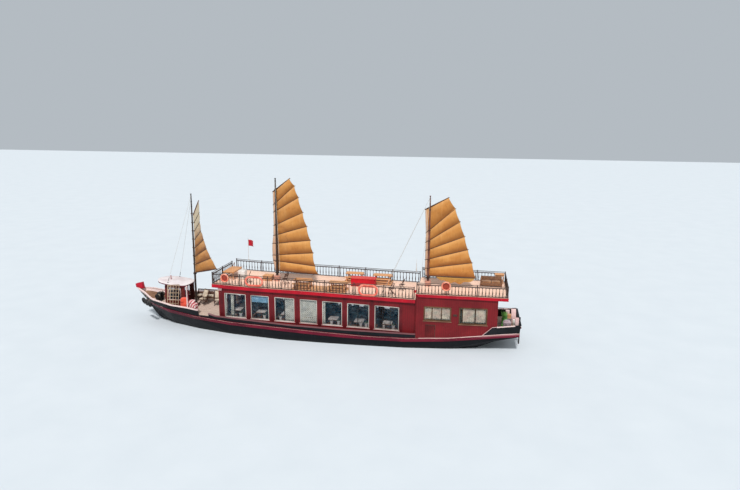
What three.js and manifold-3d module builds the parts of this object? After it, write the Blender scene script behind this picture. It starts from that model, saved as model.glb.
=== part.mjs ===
/**
 * Chinese junk: a motor tour junk with a long saloon, a raised stern cabin, a small
 * wheelhouse on the foredeck and three battened lug sails.
 *
 * Millimetres. +X points to the bow, +Y to port, +Z up. The origin lies in the plane of
 * the waterline, amidships, on the centreline.
 */
import * as THREE from 'three';
import { mergeVertices } from 'three/addons/utils/BufferGeometryUtils.js';
import Module from 'manifold-3d';

const wasm = await Module();
wasm.setup();

/** Gap left between two pieces that rest on each other. */
const SEAT = 0.3;
/** Gap around a piece that swings inside a fixed one. */
const CLEAR = 6;
/** Gap between a turning pin and its hole. */
const PIN_CLEAR = 0.3;

/** Turns rows of numbers into records with the named columns. */
function table(columns, rows) {
  return rows.map((row) => Object.fromEntries(columns.map((name, i) => [name, row[i]])));
}

/** Half sections of the hull, port side, from the transom forward. */
const HULL = table(
  ['x', 'keelZ', 'lowY', 'lowZ', 'bilgeY', 'bilgeZ', 'sideY', 'sideZ', 'deckY', 'deckZ', 'wale', 'rake'],
  [
    [-14950, 1020, 800, 1050, 1700, 1090, 1860, 1150, 1950, 1460, 40, 0],
    [-13300, 350, 700, 430, 1600, 650, 1930, 850, 2110, 1300, 50, 0],
    [-12000, -250, 600, -150, 1400, 0, 1980, 500, 2240, 1150, 50, 0],
    [-10000, -800, 700, -650, 1500, -350, 2110, 100, 2400, 930, 50, 0],
    [-7000, -1150, 1000, -1050, 1900, -700, 2440, 0, 2580, 770, 50, 0],
    [-4000, -1210, 1120, -1140, 2080, -790, 2580, 0, 2680, 770, 50, 0],
    [-1000, -1250, 1190, -1200, 2190, -850, 2650, 0, 2740, 860, 50, 0],
    [2000, -1250, 1150, -1200, 2100, -850, 2620, 0, 2740, 975, 50, 0],
    [6000, -1200, 800, -1100, 1600, -750, 2200, 0, 2600, 1085, 50, 0],
    [9000, -1050, 450, -950, 1000, -600, 1560, 0, 2270, 1235, 45, 0],
    [11500, -750, 200, -650, 500, -350, 850, 100, 1680, 1430, 20, -300],
    [13000, -420, 90, -300, 200, -20, 380, 450, 960, 1540, 8, -900],
  ],
);
/** The stem, as the hull's last section: raked forward as it rises. */
const STEM = table(['x', 'y', 'z'], [
  [12500, 30, -170],
  [12900, 40, 60],
  [13250, 45, 300],
  [13650, 50, 790],
  [14230, 60, 1600],
]);
const WALE_HEIGHT = 290;

/** Cap rail of the bulwarks: half breadth and height above the waterline. */
const CAP = table(['x', 'y', 'z'], [
  [-14950, 2030, 2060],
  [-13060, 2180, 1830],
  [-7760, 2580, 1130],
  [-2800, 2770, 1170],
  [1300, 2790, 1230],
  [4800, 2720, 1390],
  [7180, 2600, 1470],
  [7710, 2550, 1620],
  [8600, 2450, 1780],
  [9570, 2320, 1880],
  [11000, 2040, 1900],
  [11670, 1820, 1960],
  [12550, 1480, 2010],
  [13100, 1240, 2080],
  [13620, 920, 2250],
  [14070, 640, 2430],
]);
const STEM_TOP = { x: 14980, z: 2560 };
/** Block on the stem: its side runs up from the cap rail to a slanting, pointed top. */
const STEM_HEAD = { aftX: 14390, topX: 14490, topZ: 2980, tipX: 15040, tipZ: 2840, halfWidth: 150 };
const BULWARK_THICKNESS = 70;
const CAP_HEIGHT = 60;
const CAP_SPREAD = 45;
const GATE = { aft: 7750, fore: 8600 };
/** Sill across each boarding gate, with a level tread on top. */
const SILL = { neck: 35, topZ: 1290, outer: 12, inner: 172, gap: 45 };

/** Engine room, sunk in the hull under a lifting deck plate. */
const ENGINE_ROOM = { x0: -6900, x1: -4300, halfWidth: 900, floorZ: -850 };
const ENGINE = { x0: -6600, x1: -4900, halfWidth: 400, height: 950 };
const DECK_PLATE = { lip: 60, thickness: 50 };

const SHAFT = { z: -760, radius: 35, hullEndX: -12100, innerX: -11400, hubX: -12480 };
const PROPELLER = { radius: 420, hubRadius: 85, blades: 4 };
const SKEG = { x0: -12100, x1: -6000, halfWidth: 70, bottomZ: -1250 };
const SHOE = { x0: -15200, thickness: 80, halfWidth: 60 };
const RUDDER = { x: -15080, stockRadius: 45, topZ: 2000, foreX: -14450, aftX: -15430, headZ: -60 };
const GUDGEON = { z0: 1180, z1: 1300, halfWidth: 110, aftX: -15200 };

const SALOON = { x0: -7690, x1: 7000, y: 2200, wall: 80, deckThickness: 100, band: 270, bandWall: 50 };
const ROOF = { frontX: 7450, y: 2350 };
/** Height of the saloon roof along the boat. */
const ROOF_LINE = table(['x', 'z'], [
  [-7700, 3555],
  [0, 3700],
  [4500, 3745],
  [7450, 3850],
]);
const ROOF_STEP = { length: 300, halfWidth: 600, height: 205 };
/** Saloon windows, aft to fore; sill and head follow the sheer. */
const SALOON_WINDOWS = table(['x0', 'x1'], [
  [-6560, -4800],
  [-4410, -2800],
  [-2420, -950],
  [-560, 720],
  [1150, 2650],
  [3100, 4500],
  [4880, 6550],
]);
const WINDOW_LINE = { sillZ: 1240, sillSlope: 0.014, headZ: 3030, headSlope: 0.022 };
const DOORWAY = { halfWidth: 430, height: 1950 };
const FRONT_WINDOW = { y0: 750, y1: 1900 };

const STERN = { x0: -13300, x1: -7780, topFore: 2285, topAft: 2110, wall: 80 };
const STERN_DECK = { aftX: -14050, z: 3980, foreY: 2365, aftY: 2200, band: 220 };
const STERN_WINDOWS = table(['x0', 'x1', 'z0', 'z1'], [
  [-10220, -8310, 2100, 3120],
  [-12690, -10750, 1950, 3150],
]);
const SIDE_HATCH = { x0: -9100, x1: -8440, z0: 940, z1: 1780 };
const BULKHEAD = { x0: -7770, x1: -7700 };

const WHEELHOUSE = { x0: 10500, x1: 12100, y: 780, wall: 60 };
/** Plan of the wheelhouse roof, port half from aft to the centreline. */
const WHEELHOUSE_ROOF_EDGE = table(['x', 'y'], [
  [10250, 620],
  [10450, 900],
  [10900, 1080],
  [11500, 1150],
  [12100, 1090],
  [12600, 880],
  [12900, 500],
  [13020, 150],
]);
const WHEELHOUSE_ROOF = { aftZ: 3187, slope: 0.09, thickness: 110 };
const WHEELHOUSE_WINDOW = { x0: 10800, x1: 11850, z0: 1900, z1: 2900 };
const WHEELHOUSE_OPENING = { halfWidth: 660, headZ: 2950 };
const ROOF_POST = { x: 10335, y: 500, radius: 28 };

const RAIL = { height: 900, thickness: 50, post: 70, baluster: 30, pitch: 460, foot: 70, bar: 45 };
const STERN_RAIL_HEIGHT = 820;
const RAIL_INSET = 30;
const STAIR = { y0: -2120, y1: -1450, footX: 8720, stringer: 45, depth: 200, treads: 10, rail: 750 };
const STAIR_GAP = { y0: -2200, y1: -1400 };

/** Life rings and oval floats hung on the outside of the port rails. */
const FLOATS = table(['rail', 'x', 'y', 'z', 'halfLength', 'halfHeight', 'tube'], [
  ['saloon', 6400, 2316, 4360, 325, 325, 95],
  ['saloon', 4130, 2316, 4220, 715, 390, 150],
  ['saloon', -4340, 2316, 4040, 725, 430, 150],
  ['stern', -9800, 2274, 4640, 335, 335, 95],
]);
const FLOAT_DEPTH = 110;
/** Poles standing on the starboard rail of the saloon roof. */
const RAIL_POLES = table(['x', 'topZ', 'radius'], [
  [6350, 6450, 18],
  [-7300, 5450, 22],
]);

/**
 * Masts: place, foot, head, radii, the height at which the boom's parrel rests and the
 * side of the mast on which the sail lies: 1 to port, -1 to starboard of its own chord.
 */
const MASTS = {
  fore: { x: 9930, footZ: 1345, topZ: 10230, footRadius: 85, topRadius: 45, collarZ: 3960, tack: 1 },
  main: { x: 3150, footZ: 3750, topZ: 11580, footRadius: 95, topRadius: 50, collarZ: 4400, tack: -1 },
  mizzen: { x: -8370, footZ: 3995, topZ: 10610, footRadius: 85, topRadius: 45, collarZ: 4620, tack: -1 },
};
const MAST_SIDES = 16;
const SPAR = { boom: 90, batten: 50, cloth: 24, parrelWall: 35, parrelHeight: 90 };
const SAIL_COLUMNS = ['luffU', 'luffZ', 'leechU', 'leechZ', 'swing'];
/** Sail rows from the boom up to the yard: u runs aft from the mast, swing is to port. */
const SAILS = {
  fore: table(SAIL_COLUMNS, [
    [-100, 4050, 2300, 3800, -71],
    [-110, 4700, 1990, 4760, -76],
    [-110, 5350, 1800, 5550, -83],
    [-110, 6000, 1640, 6330, -86],
    [-110, 6650, 1420, 7080, -90],
    [-110, 7300, 1280, 7830, -91],
    [-110, 7950, 1330, 8600, -91],
    [-110, 8600, 1100, 9560, -88],
  ]),
  main: table(SAIL_COLUMNS, [
    [-260, 4480, 3400, 4480, 9],
    [-400, 5260, 3120, 5100, 9],
    [-440, 5660, 2950, 6110, 9],
    [-420, 6570, 2740, 7050, 9],
    [-330, 7180, 2460, 8090, 9],
    [-290, 7950, 2150, 9120, 9],
    [-280, 8980, 1810, 10230, 9],
    [-280, 9520, 1500, 11060, 9],
    [-290, 10520, 1100, 11600, 9],
  ]),
  mizzen: table(SAIL_COLUMNS, [
    [-200, 4700, 3420, 4700, 0],
    [-250, 5240, 3120, 5830, 0],
    [-250, 5880, 2780, 6790, 0],
    [-250, 6560, 2520, 7740, 0],
    [-250, 7160, 2140, 8800, 0],
    [-250, 7860, 1780, 9740, 0],
    [-340, 9580, 1280, 10510, 0],
  ]),
};

/** Linear interpolation in a table sorted by x. */
function along(rows, x, key) {
  const last = rows.length - 1;
  const i = Math.min(Math.max(rows.findIndex((row) => row.x >= x), 1), last);
  const a = rows[i - 1];
  const b = rows[x > rows[last].x ? last : i];
  const t = (x - a.x) / (b.x - a.x);
  return a[key] + (b[key] - a[key]) * Math.min(Math.max(t, 0), 1);
}

const DECK_END = { x: STEM[4].x, deckY: STEM[4].y, deckZ: STEM[4].z };
const DECK_ROWS = [...HULL.map(({ x, deckY, deckZ }) => ({ x, deckY, deckZ })), DECK_END];
const deckZ = (x) => along(DECK_ROWS, x, 'deckZ');
const deckY = (x) => along(DECK_ROWS, x, 'deckY');
const roofZ = (x) => along(ROOF_LINE, x, 'z');

/** x values of a span: its ends and every station of the rows between them. */
function stationsIn(x0, x1, rows = DECK_ROWS) {
  const inner = rows.map((row) => row.x).filter((x) => x > x0 + 1 && x < x1 - 1);
  return [x0, ...inner, x1];
}

/** Closes a ring of points with triangles in its main plane. */
function capTriangles(ring) {
  const normal = new THREE.Vector3();
  ring.forEach((p, i) => normal.add(p.clone().cross(ring[(i + 1) % ring.length])));
  const size = [Math.abs(normal.x), Math.abs(normal.y), Math.abs(normal.z)];
  const drop = size.indexOf(Math.max(...size));
  const keep = ['x', 'y', 'z'].filter((_, i) => i !== drop);
  const flat = ring.map((p) => new THREE.Vector2(p[keep[0]], p[keep[1]]));
  const turns = THREE.ShapeUtils.area(flat) > 0;
  const order = turns ? flat : flat.slice().reverse();
  const faces = THREE.ShapeUtils.triangulateShape(order, []);
  const back = (i) => (turns ? i : ring.length - 1 - i);
  return faces.map((face) => {
    const f = face.map(back);
    return turns ? f : [f[0], f[2], f[1]];
  });
}

/** Solid through rings of points with equal counts; each ring is a list of Vector3. */
function loft(rings) {
  const n = rings[0].length;
  const points = rings.flat();
  const faces = [];
  for (let r = 0; r < rings.length - 1; r += 1) {
    for (let i = 0; i < n; i += 1) {
      const a = r * n + i;
      const b = r * n + ((i + 1) % n);
      faces.push([a, b, b + n], [a, b + n, a + n]);
    }
  }
  const start = capTriangles(rings[0]);
  const end = capTriangles(rings[rings.length - 1]);
  const offset = (rings.length - 1) * n;
  start.forEach(([a, b, c]) => faces.push([a, c, b]));
  end.forEach(([a, b, c]) => faces.push([a + offset, b + offset, c + offset]));
  return solid(points, faces);
}

/** Indexed geometry whose faces all point outward. */
function solid(points, faces) {
  const geometry = new THREE.BufferGeometry();
  const positions = new Float32Array(points.flatMap((p) => [p.x, p.y, p.z]));
  geometry.setAttribute('position', new THREE.BufferAttribute(positions, 3));
  const centre = points.reduce((sum, p) => sum.add(p), new THREE.Vector3()).divideScalar(points.length);
  const volume = faces.reduce((sum, [a, b, c]) => {
    const pa = points[a].clone().sub(centre);
    const pb = points[b].clone().sub(centre);
    const pc = points[c].clone().sub(centre);
    return sum + pa.dot(pb.cross(pc));
  }, 0);
  geometry.setIndex(faces.flatMap(([a, b, c]) => (volume < 0 ? [a, c, b] : [a, b, c])));
  return geometry;
}

/** Prism of a polygon in two axes, carried along the third from one value to another. */
function prism(axis, polygon, from, to) {
  const place = {
    x: ([a, b], t) => new THREE.Vector3(t, a, b),
    y: ([a, b], t) => new THREE.Vector3(a, t, b),
    z: ([a, b], t) => new THREE.Vector3(a, b, t),
  }[axis];
  return loft([polygon.map((p) => place(p, from)), polygon.map((p) => place(p, to))]);
}

/** Slab along the boat whose under and upper faces each follow a line. */
function slab(x0, x1, y0, y1, under, upper) {
  const lower = stationsIn(x0, x1).map((x) => [x, under(x)]);
  const roof = stationsIn(x0, x1, ROOF_LINE).map((x) => [x, upper(x)]);
  return prism('y', [...lower, ...roof.reverse()], y0, y1);
}

/** Box between two corners. */
function box(x0, x1, y0, y1, z0, z1) {
  return prism('z', [[x0, y0], [x1, y0], [x1, y1], [x0, y1]], z0, z1);
}

/** Ring of points of a regular polygon round a centre; phase turns it by parts of a side. */
function roundRing(centre, direction, radius, sides, phase = 0.5) {
  const d = direction.clone().normalize();
  const up = Math.abs(d.z) > 0.9 ? new THREE.Vector3(1, 0, 0) : new THREE.Vector3(0, 0, 1);
  const side = up.clone().cross(d).normalize();
  const top = d.clone().cross(side);
  return Array.from({ length: sides }, (_, i) => {
    const angle = ((i + phase) * 2 * Math.PI) / sides;
    return centre.clone()
      .addScaledVector(side, Math.cos(angle) * radius)
      .addScaledVector(top, Math.sin(angle) * radius);
  });
}

/** Round bar from a to b; the end radius may differ. */
function bar(a, b, radius, sides = 12, endRadius = radius) {
  const p = new THREE.Vector3(...a);
  const q = new THREE.Vector3(...b);
  const direction = q.clone().sub(p);
  return loft([roundRing(p, direction, radius, sides), roundRing(q, direction, endRadius, sides)]);
}

/** Cutter for the hole of a pin: its flats lie PIN_CLEAR outside the corners of the pin. */
function pinHole(a, b, radius, sides = 12) {
  const p = new THREE.Vector3(...a);
  const q = new THREE.Vector3(...b);
  const direction = q.clone().sub(p);
  const wide = (radius + PIN_CLEAR) / Math.cos(Math.PI / sides);
  return loft([p, q].map((end) => roundRing(end, direction, wide, sides, 0)));
}

/** Turns a geometry into a manifold, its shared corners merged. */
function toManifold(geometry) {
  const bare = geometry.clone();
  bare.deleteAttribute('normal');
  bare.deleteAttribute('uv');
  const merged = mergeVertices(bare, 1e-3);
  return new wasm.Manifold(new wasm.Mesh({
    numProp: 3,
    vertProperties: new Float32Array(merged.attributes.position.array),
    triVerts: new Uint32Array(merged.index.array),
  }));
}

/** Turns a manifold back into a geometry. */
function toGeometry(manifold) {
  const mesh = manifold.getMesh();
  const geometry = new THREE.BufferGeometry();
  geometry.setAttribute('position', new THREE.BufferAttribute(new Float32Array(mesh.vertProperties), 3));
  geometry.setIndex(new THREE.BufferAttribute(new Uint32Array(mesh.triVerts), 1));
  return geometry;
}

/** All the geometries joined into one body. */
function join(...parts) {
  const [first, ...rest] = parts.map(toManifold);
  return toGeometry(rest.reduce((sum, part) => sum.add(part), first));
}

/** The first geometry with the others taken out of it. */
function cut(body, ...tools) {
  return toGeometry(tools.map(toManifold).reduce((rest, tool) => rest.subtract(tool), toManifold(body)));
}

/** Copy of a geometry on the other side of the centreline. */
function mirrored(geometry) {
  const copy = geometry.clone().applyMatrix4(new THREE.Matrix4().makeScale(1, -1, 1));
  const index = Array.from(copy.index.array);
  for (let i = 0; i < index.length; i += 3) [index[i], index[i + 1]] = [index[i + 1], index[i]];
  copy.setIndex(index);
  copy.deleteAttribute('normal');
  return copy;
}

/** Hinge eyes on a jamb, with the pin of the leaf that turns in them. */
const HINGE = { pin: 9, half: 14, reach: 24, eye: 24, notch: 22 };

/**
 * Hinge of a leaf: eyes for the jamb, notches and a pin for the leaf. The pin runs from
 * one point to another, and jamb points from it to the fixed side.
 */
function hinge(from, to, jamb, heights) {
  const foot = new THREE.Vector3(...from);
  const axis = new THREE.Vector3(...to).sub(foot).normalize();
  const j = new THREE.Vector3(...jamb);
  const n = axis.clone().cross(j);
  const block = (a0, a1, j0, j1, n0, n1) => {
    const ring = (a) => [[j0, n0], [j1, n0], [j1, n1], [j0, n1]].map(([v, w]) => foot.clone()
      .addScaledVector(axis, a).addScaledVector(j, v).addScaledVector(n, w));
    return loft([ring(a0), ring(a1)]);
  };
  const hole = pinHole(from, to, HINGE.pin);
  const eyes = heights.map((a) => cut(
    block(a, a + HINGE.eye, -HINGE.half, HINGE.reach, -HINGE.half, HINGE.half), hole,
  ));
  const notches = heights.map((a) => block(a - CLEAR, a + HINGE.eye + SEAT, -HINGE.notch, 60, -90, 90));
  return { eyes, notches, pin: bar(from, to, HINGE.pin) };
}

/** Leaf of a door or hatch, notched round its hinge eyes and with its pin. */
const hung = (leaf, { notches, pin }) => join(cut(leaf, ...notches), pin);

/** Colours of the finished boat, one material each. */
const PAINT = {
  hullBlack: new THREE.MeshStandardMaterial({ name: 'hull_black', color: 0x15171b, roughness: 0.5 }),
  red: new THREE.MeshStandardMaterial({ name: 'band_red', color: 0xb3141f, roughness: 0.45 }),
  maroon: new THREE.MeshStandardMaterial({ name: 'wall_maroon', color: 0x7d1c22, roughness: 0.5 }),
  deck: new THREE.MeshStandardMaterial({ name: 'deck_timber', color: 0xb9a58c, roughness: 0.8 }),
  white: new THREE.MeshStandardMaterial({ name: 'white_paint', color: 0xe6e2da, roughness: 0.5 }),
  timber: new THREE.MeshStandardMaterial({ name: 'brown_timber', color: 0x5b2f20, roughness: 0.6 }),
  sail: new THREE.MeshStandardMaterial({ name: 'sail_cloth', color: 0xd0853a, roughness: 0.9 }),
  bronze: new THREE.MeshStandardMaterial({ name: 'bronze', color: 0x9c7b3c, metalness: 0.8, roughness: 0.4 }),
  iron: new THREE.MeshStandardMaterial({ name: 'dark_iron', color: 0x33363a, metalness: 0.5, roughness: 0.6 }),
};

const junk = new THREE.Group();
junk.name = 'chinese_junk';

/** Adds a named piece to the boat. */
function add(name, geometry, material) {
  const mesh = new THREE.Mesh(geometry, material);
  mesh.name = name;
  junk.add(mesh);
}

/* Hull */

/** Section of the hull; its points lean by the rake as they go down to the keel. */
function hullRing(s) {
  const sideY = s.sideY + (s.deckY - s.sideY) * (1 - WALE_HEIGHT / (s.deckZ - s.sideZ));
  const half = [
    [0, s.keelZ],
    [s.lowY, s.lowZ],
    [s.bilgeY, s.bilgeZ],
    [s.sideY, s.sideZ],
    [sideY, s.deckZ - WALE_HEIGHT],
    [sideY + s.wale, s.deckZ - WALE_HEIGHT + s.wale / 2],
    [s.deckY + s.wale, s.deckZ - s.wale / 2],
    [s.deckY, s.deckZ],
  ];
  const x = (z) => s.x + (s.rake * (s.deckZ - z)) / (s.deckZ - s.keelZ);
  return bothSides(half.map(([y, z]) => new THREE.Vector3(x(z), y, z)));
}

/** Ring of a section from its port half, which starts on the centreline. */
function bothSides(half) {
  const other = half.slice(1).reverse().map((p) => new THREE.Vector3(p.x, -p.y, p.z));
  return [...half, ...other];
}

function stemRing() {
  const at = (t) => {
    const i = Math.min(Math.floor(t), 3);
    const f = t - i;
    const mix = (key) => STEM[i][key] * (1 - f) + STEM[i + 1][key] * f;
    return new THREE.Vector3(mix('x'), mix('y'), mix('z'));
  };
  const half = [0, 0.9, 1.8, 2.5, 3.75, 3.8, 3.95, 4].map(at);
  half[0].y = 0;
  return bothSides(half);
}

function buildHull() {
  const shell = loft([...HULL.map(hullRing), stemRing()]);
  const skeg = box(SKEG.x0, SKEG.x1, -SKEG.halfWidth, SKEG.halfWidth, SKEG.bottomZ, -300);
  const shoeTop = SKEG.bottomZ;
  const shoe = box(SHOE.x0, SKEG.x0 + 400, -SHOE.halfWidth, SHOE.halfWidth, shoeTop - SHOE.thickness, shoeTop);
  const shoeStep = box(SKEG.x0, SKEG.x0 + 400, -SHOE.halfWidth, SHOE.halfWidth, shoeTop - 10, shoeTop + 10);
  const gudgeon = box(GUDGEON.aftX, -14900, -GUDGEON.halfWidth, GUDGEON.halfWidth, GUDGEON.z0, GUDGEON.z1);
  const body = join(shell, skeg, shoe, shoeStep, gudgeon);
  const r = ENGINE_ROOM;
  const room = box(r.x0, r.x1, -r.halfWidth, r.halfWidth, r.floorZ, 2000);
  const lip = DECK_PLATE.lip;
  const rebateZ = deckZ(r.x0) - DECK_PLATE.thickness;
  const rebate = box(r.x0 - lip, r.x1 + lip, -r.halfWidth - lip, r.halfWidth + lip, rebateZ, 2000);
  const shaftHole = pinHole(
    [SHAFT.hullEndX - 100, 0, SHAFT.z], [SHAFT.innerX + 20, 0, SHAFT.z], SHAFT.radius, 16,
  );
  const heelHole = pinHole(
    [RUDDER.x, 0, shoeTop - SHOE.thickness - 10], [RUDDER.x, 0, shoeTop + 10], RUDDER.stockRadius, 16,
  );
  const stockHole = pinHole(
    [RUDDER.x, 0, GUDGEON.z0 - 10], [RUDDER.x, 0, GUDGEON.z1 + 10], RUDDER.stockRadius, 16,
  );
  return cut(body, room, rebate, shaftHole, heelHole, stockHole);
}

add('hull', buildHull(), PAINT.hullBlack);

{
  const r = ENGINE_ROOM;
  const edge = DECK_PLATE.lip - SEAT;
  const top = deckZ(r.x0);
  add('engine_room_deck', box(
    r.x0 - edge, r.x1 + edge, -r.halfWidth - edge, r.halfWidth + edge,
    top - DECK_PLATE.thickness + SEAT, top,
  ), PAINT.deck);
  const floor = r.floorZ + SEAT;
  add('engine', box(ENGINE.x0, ENGINE.x1, -ENGINE.halfWidth, ENGINE.halfWidth, floor, floor + ENGINE.height), PAINT.iron);
}

function buildPropeller() {
  const shaft = bar([SHAFT.innerX, 0, SHAFT.z], [SHAFT.hubX - 150, 0, SHAFT.z], SHAFT.radius, 16);
  const hub = bar([SHAFT.hubX + 110, 0, SHAFT.z], [SHAFT.hubX - 130, 0, SHAFT.z], PROPELLER.hubRadius, 16, 55);
  const blades = Array.from({ length: PROPELLER.blades }, (_, i) => {
    const ring = (radius, chord, pitch) => {
      const points = [[-0.5, -0.06], [0, -0.11], [0.5, -0.04], [0.5, 0.04], [0, 0.09], [-0.5, 0.06]];
      return points.map(([a, b]) => {
        const along = a * chord;
        const across = b * 160;
        const x = along * Math.cos(pitch) - across * Math.sin(pitch);
        const y = along * Math.sin(pitch) + across * Math.cos(pitch);
        return new THREE.Vector3(SHAFT.hubX + x, y, radius);
      });
    };
    const blade = loft([ring(50, 150, 0.6), ring(260, 260, 0.95), ring(PROPELLER.radius, 130, 1.2)]);
    blade.applyMatrix4(new THREE.Matrix4().makeRotationX((i * 2 * Math.PI) / PROPELLER.blades));
    return blade.translate(0, 0, SHAFT.z);
  });
  return join(shaft, hub, ...blades);
}

add('propeller', buildPropeller(), PAINT.bronze);

function buildRudder() {
  const foot = SKEG.bottomZ + SEAT;
  const stock = bar([RUDDER.x, 0, foot - SHOE.thickness * 0.8], [RUDDER.x, 0, RUDDER.topZ], RUDDER.stockRadius, 16);
  const outline = [
    [RUDDER.foreX, foot], [RUDDER.aftX, foot], [RUDDER.aftX, RUDDER.headZ - 80],
    [RUDDER.aftX + 120, RUDDER.headZ], [RUDDER.foreX + 60, RUDDER.headZ - 120],
  ];
  return join(stock, prism('y', outline, -35, 35));
}

add('rudder', buildRudder(), PAINT.hullBlack);

/* Bulwarks */

/** Ring of a bulwark: a leaning wall with a cap rail on top. */
function bulwarkRing(foot, cap, inward = 0) {
  const t = BULWARK_THICKNESS;
  const under = cap.z - CAP_HEIGHT;
  const inner = (y) => (inward ? -inward : y);
  return [
    [foot.x, foot.y, foot.z],
    [cap.x, cap.y, under],
    [cap.x, cap.y + CAP_SPREAD, under],
    [cap.x, cap.y + CAP_SPREAD, cap.z],
    [cap.x, inner(cap.y - t - CAP_SPREAD), cap.z],
    [cap.x, inner(cap.y - t - CAP_SPREAD), under],
    [cap.x, inner(cap.y - t), under],
    [foot.x, inner(foot.y - t), foot.z],
  ].map(([x, y, z]) => new THREE.Vector3(x, y, z));
}

function bulwarkAt(x) {
  const foot = { x, y: deckY(x) - 10, z: deckZ(x) + SEAT };
  return bulwarkRing(foot, { x, y: along(CAP, x, 'y'), z: along(CAP, x, 'z') });
}

function bulwarkSpan(x0, x1) {
  const places = new Set([...DECK_ROWS, ...CAP].map((row) => row.x));
  const both = [...places].sort((a, b) => a - b).map((x) => ({ x }));
  return stationsIn(x0, x1, both).map(bulwarkAt);
}

function buildForeBulwark() {
  const stemFoot = { x: STEM[4].x - 40, y: 45, z: deckZ(STEM[4].x - 40) + SEAT };
  const stemCap = { x: STEM_TOP.x, y: 60, z: STEM_TOP.z };
  const port = loft([...bulwarkSpan(GATE.fore, 13900), bulwarkRing(stemFoot, stemCap, 30)]);
  return join(port, mirrored(port));
}

function buildSternBulwark() {
  const aftX = HULL[0].x;
  const port = loft(bulwarkSpan(aftX + 10, STERN.x0 - STERN.wall - 2 * SEAT));
  const cap = CAP[0];
  const across = [
    [aftX + 10, deckZ(aftX) + SEAT],
    [aftX - 40, cap.z - CAP_HEIGHT],
    [aftX - 40 - CAP_SPREAD, cap.z - CAP_HEIGHT],
    [aftX - 40 - CAP_SPREAD, cap.z],
    [aftX + 70, cap.z],
    [aftX + 70, cap.z - CAP_HEIGHT],
    [aftX + 30, cap.z - CAP_HEIGHT],
    [aftX + 80, deckZ(aftX) + SEAT],
  ];
  const stern = prism('y', across, -1930, 1930);
  const deckCut = prism('y', [
    [aftX - 50, deckZ(aftX) - 400], [-11000, deckZ(-11000) - 900],
    ...stationsIn(aftX, -11000).reverse().map((x) => [x, deckZ(x) + SEAT]), [aftX - 50, deckZ(aftX) + SEAT],
  ], -3000, 3000);
  return cut(join(port, mirrored(port), stern), deckCut);
}

/** Sill that runs on from the waist bulwark across the boarding gate. */
function buildSill() {
  const ring = (x, topZ) => {
    const y = deckY(x);
    const footZ = deckZ(x) + SEAT;
    return [[y - SILL.outer, footZ], [y - SILL.outer, topZ], [y - SILL.inner, topZ], [y - SILL.inner, footZ]]
      .map(([py, z]) => new THREE.Vector3(x, py, z));
  };
  const treadX = GATE.aft + SILL.gap;
  const neck = loft([GATE.aft - 5, treadX + 1].map((x) => ring(x, deckZ(x) + SILL.neck)));
  const tread = loft([treadX, GATE.fore - SILL.gap].map((x) => ring(x, SILL.topZ)));
  return join(neck, tread);
}

const waist = join(loft(bulwarkSpan(STERN.x1 + 10, GATE.aft)), buildSill());
add('fore_bulwark', buildForeBulwark(), PAINT.hullBlack);
add('waist_bulwark_port', waist, PAINT.hullBlack);
add('waist_bulwark_starboard', mirrored(waist), PAINT.hullBlack);
add('stern_bulwark', buildSternBulwark(), PAINT.hullBlack);
{
  const h = STEM_HEAD;
  const foot = (x) => along([CAP[CAP.length - 1], STEM_TOP], x, 'z') + SEAT;
  const side = [
    [h.aftX, foot(h.aftX)], [STEM_TOP.x, foot(STEM_TOP.x)], [h.tipX, h.tipZ], [h.topX, h.topZ],
  ];
  add('stem_head', prism('y', side, -h.halfWidth, h.halfWidth), PAINT.red);
}

/* Saloon */

const onDeck = (x) => deckZ(x) + SEAT;
const underRoof = (x) => roofZ(x) - SALOON.deckThickness - SEAT;

function saloonSide() {
  const foreX = SALOON.x1 - SALOON.wall - SEAT;
  const panel = slab(SALOON.x0, foreX, SALOON.y - SALOON.wall, SALOON.y, onDeck, underRoof);
  const openings = SALOON_WINDOWS.map(({ x0, x1 }) => {
    const sill = (x) => WINDOW_LINE.sillZ + WINDOW_LINE.sillSlope * x;
    const head = (x) => WINDOW_LINE.headZ + WINDOW_LINE.headSlope * x;
    const hole = [[x0, sill(x0)], [x1, sill(x1)], [x1, head(x1)], [x0, head(x0)]];
    return prism('y', hole, SALOON.y - 500, SALOON.y + 500);
  });
  return cut(panel, ...openings);
}

const saloonPanel = saloonSide();
add('saloon_side_port', saloonPanel, PAINT.maroon);
add('saloon_side_starboard', mirrored(saloonPanel), PAINT.maroon);

function buildSaloonFront() {
  const x1 = SALOON.x1;
  const x0 = x1 - SALOON.wall;
  const panel = slab(x0, x1, -SALOON.y, SALOON.y, onDeck, underRoof);
  const d = DOORWAY;
  const sill = WINDOW_LINE.sillZ + 90;
  const head = WINDOW_LINE.headZ + 100;
  return cut(
    panel,
    box(x0 - 50, x1 + 50, -d.halfWidth, d.halfWidth, 0, deckZ(x1) + d.height),
    box(x0 - 50, x1 + 50, FRONT_WINDOW.y0, FRONT_WINDOW.y1, sill, head),
    box(x0 - 50, x1 + 50, -FRONT_WINDOW.y1, -FRONT_WINDOW.y0, sill, head),
  );
}

/** Door leaf recessed in a cross wall; it opens inward, hung on its port edge. */
function crossDoor(innerX, outerX, footZ, headZ) {
  const y = DOORWAY.halfWidth - CLEAR;
  const leaf = box(Math.min(outerX, innerX), Math.max(outerX, innerX), -y, y, footZ + 2 * CLEAR, headZ - CLEAR);
  const pinY = y - CLEAR;
  const fittings = hinge([innerX, pinY, footZ + 3 * CLEAR], [innerX, pinY, headZ - 2 * CLEAR], [0, 1, 0], [180, 1600]);
  return { leaf: hung(leaf, fittings), eyes: fittings.eyes };
}

const saloonDoor = crossDoor(
  SALOON.x1 - 65, SALOON.x1 - 20, deckZ(SALOON.x1), deckZ(SALOON.x1) + DOORWAY.height,
);
add('saloon_front', join(buildSaloonFront(), ...saloonDoor.eyes), PAINT.maroon);
add('saloon_door', saloonDoor.leaf, PAINT.timber);

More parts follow.
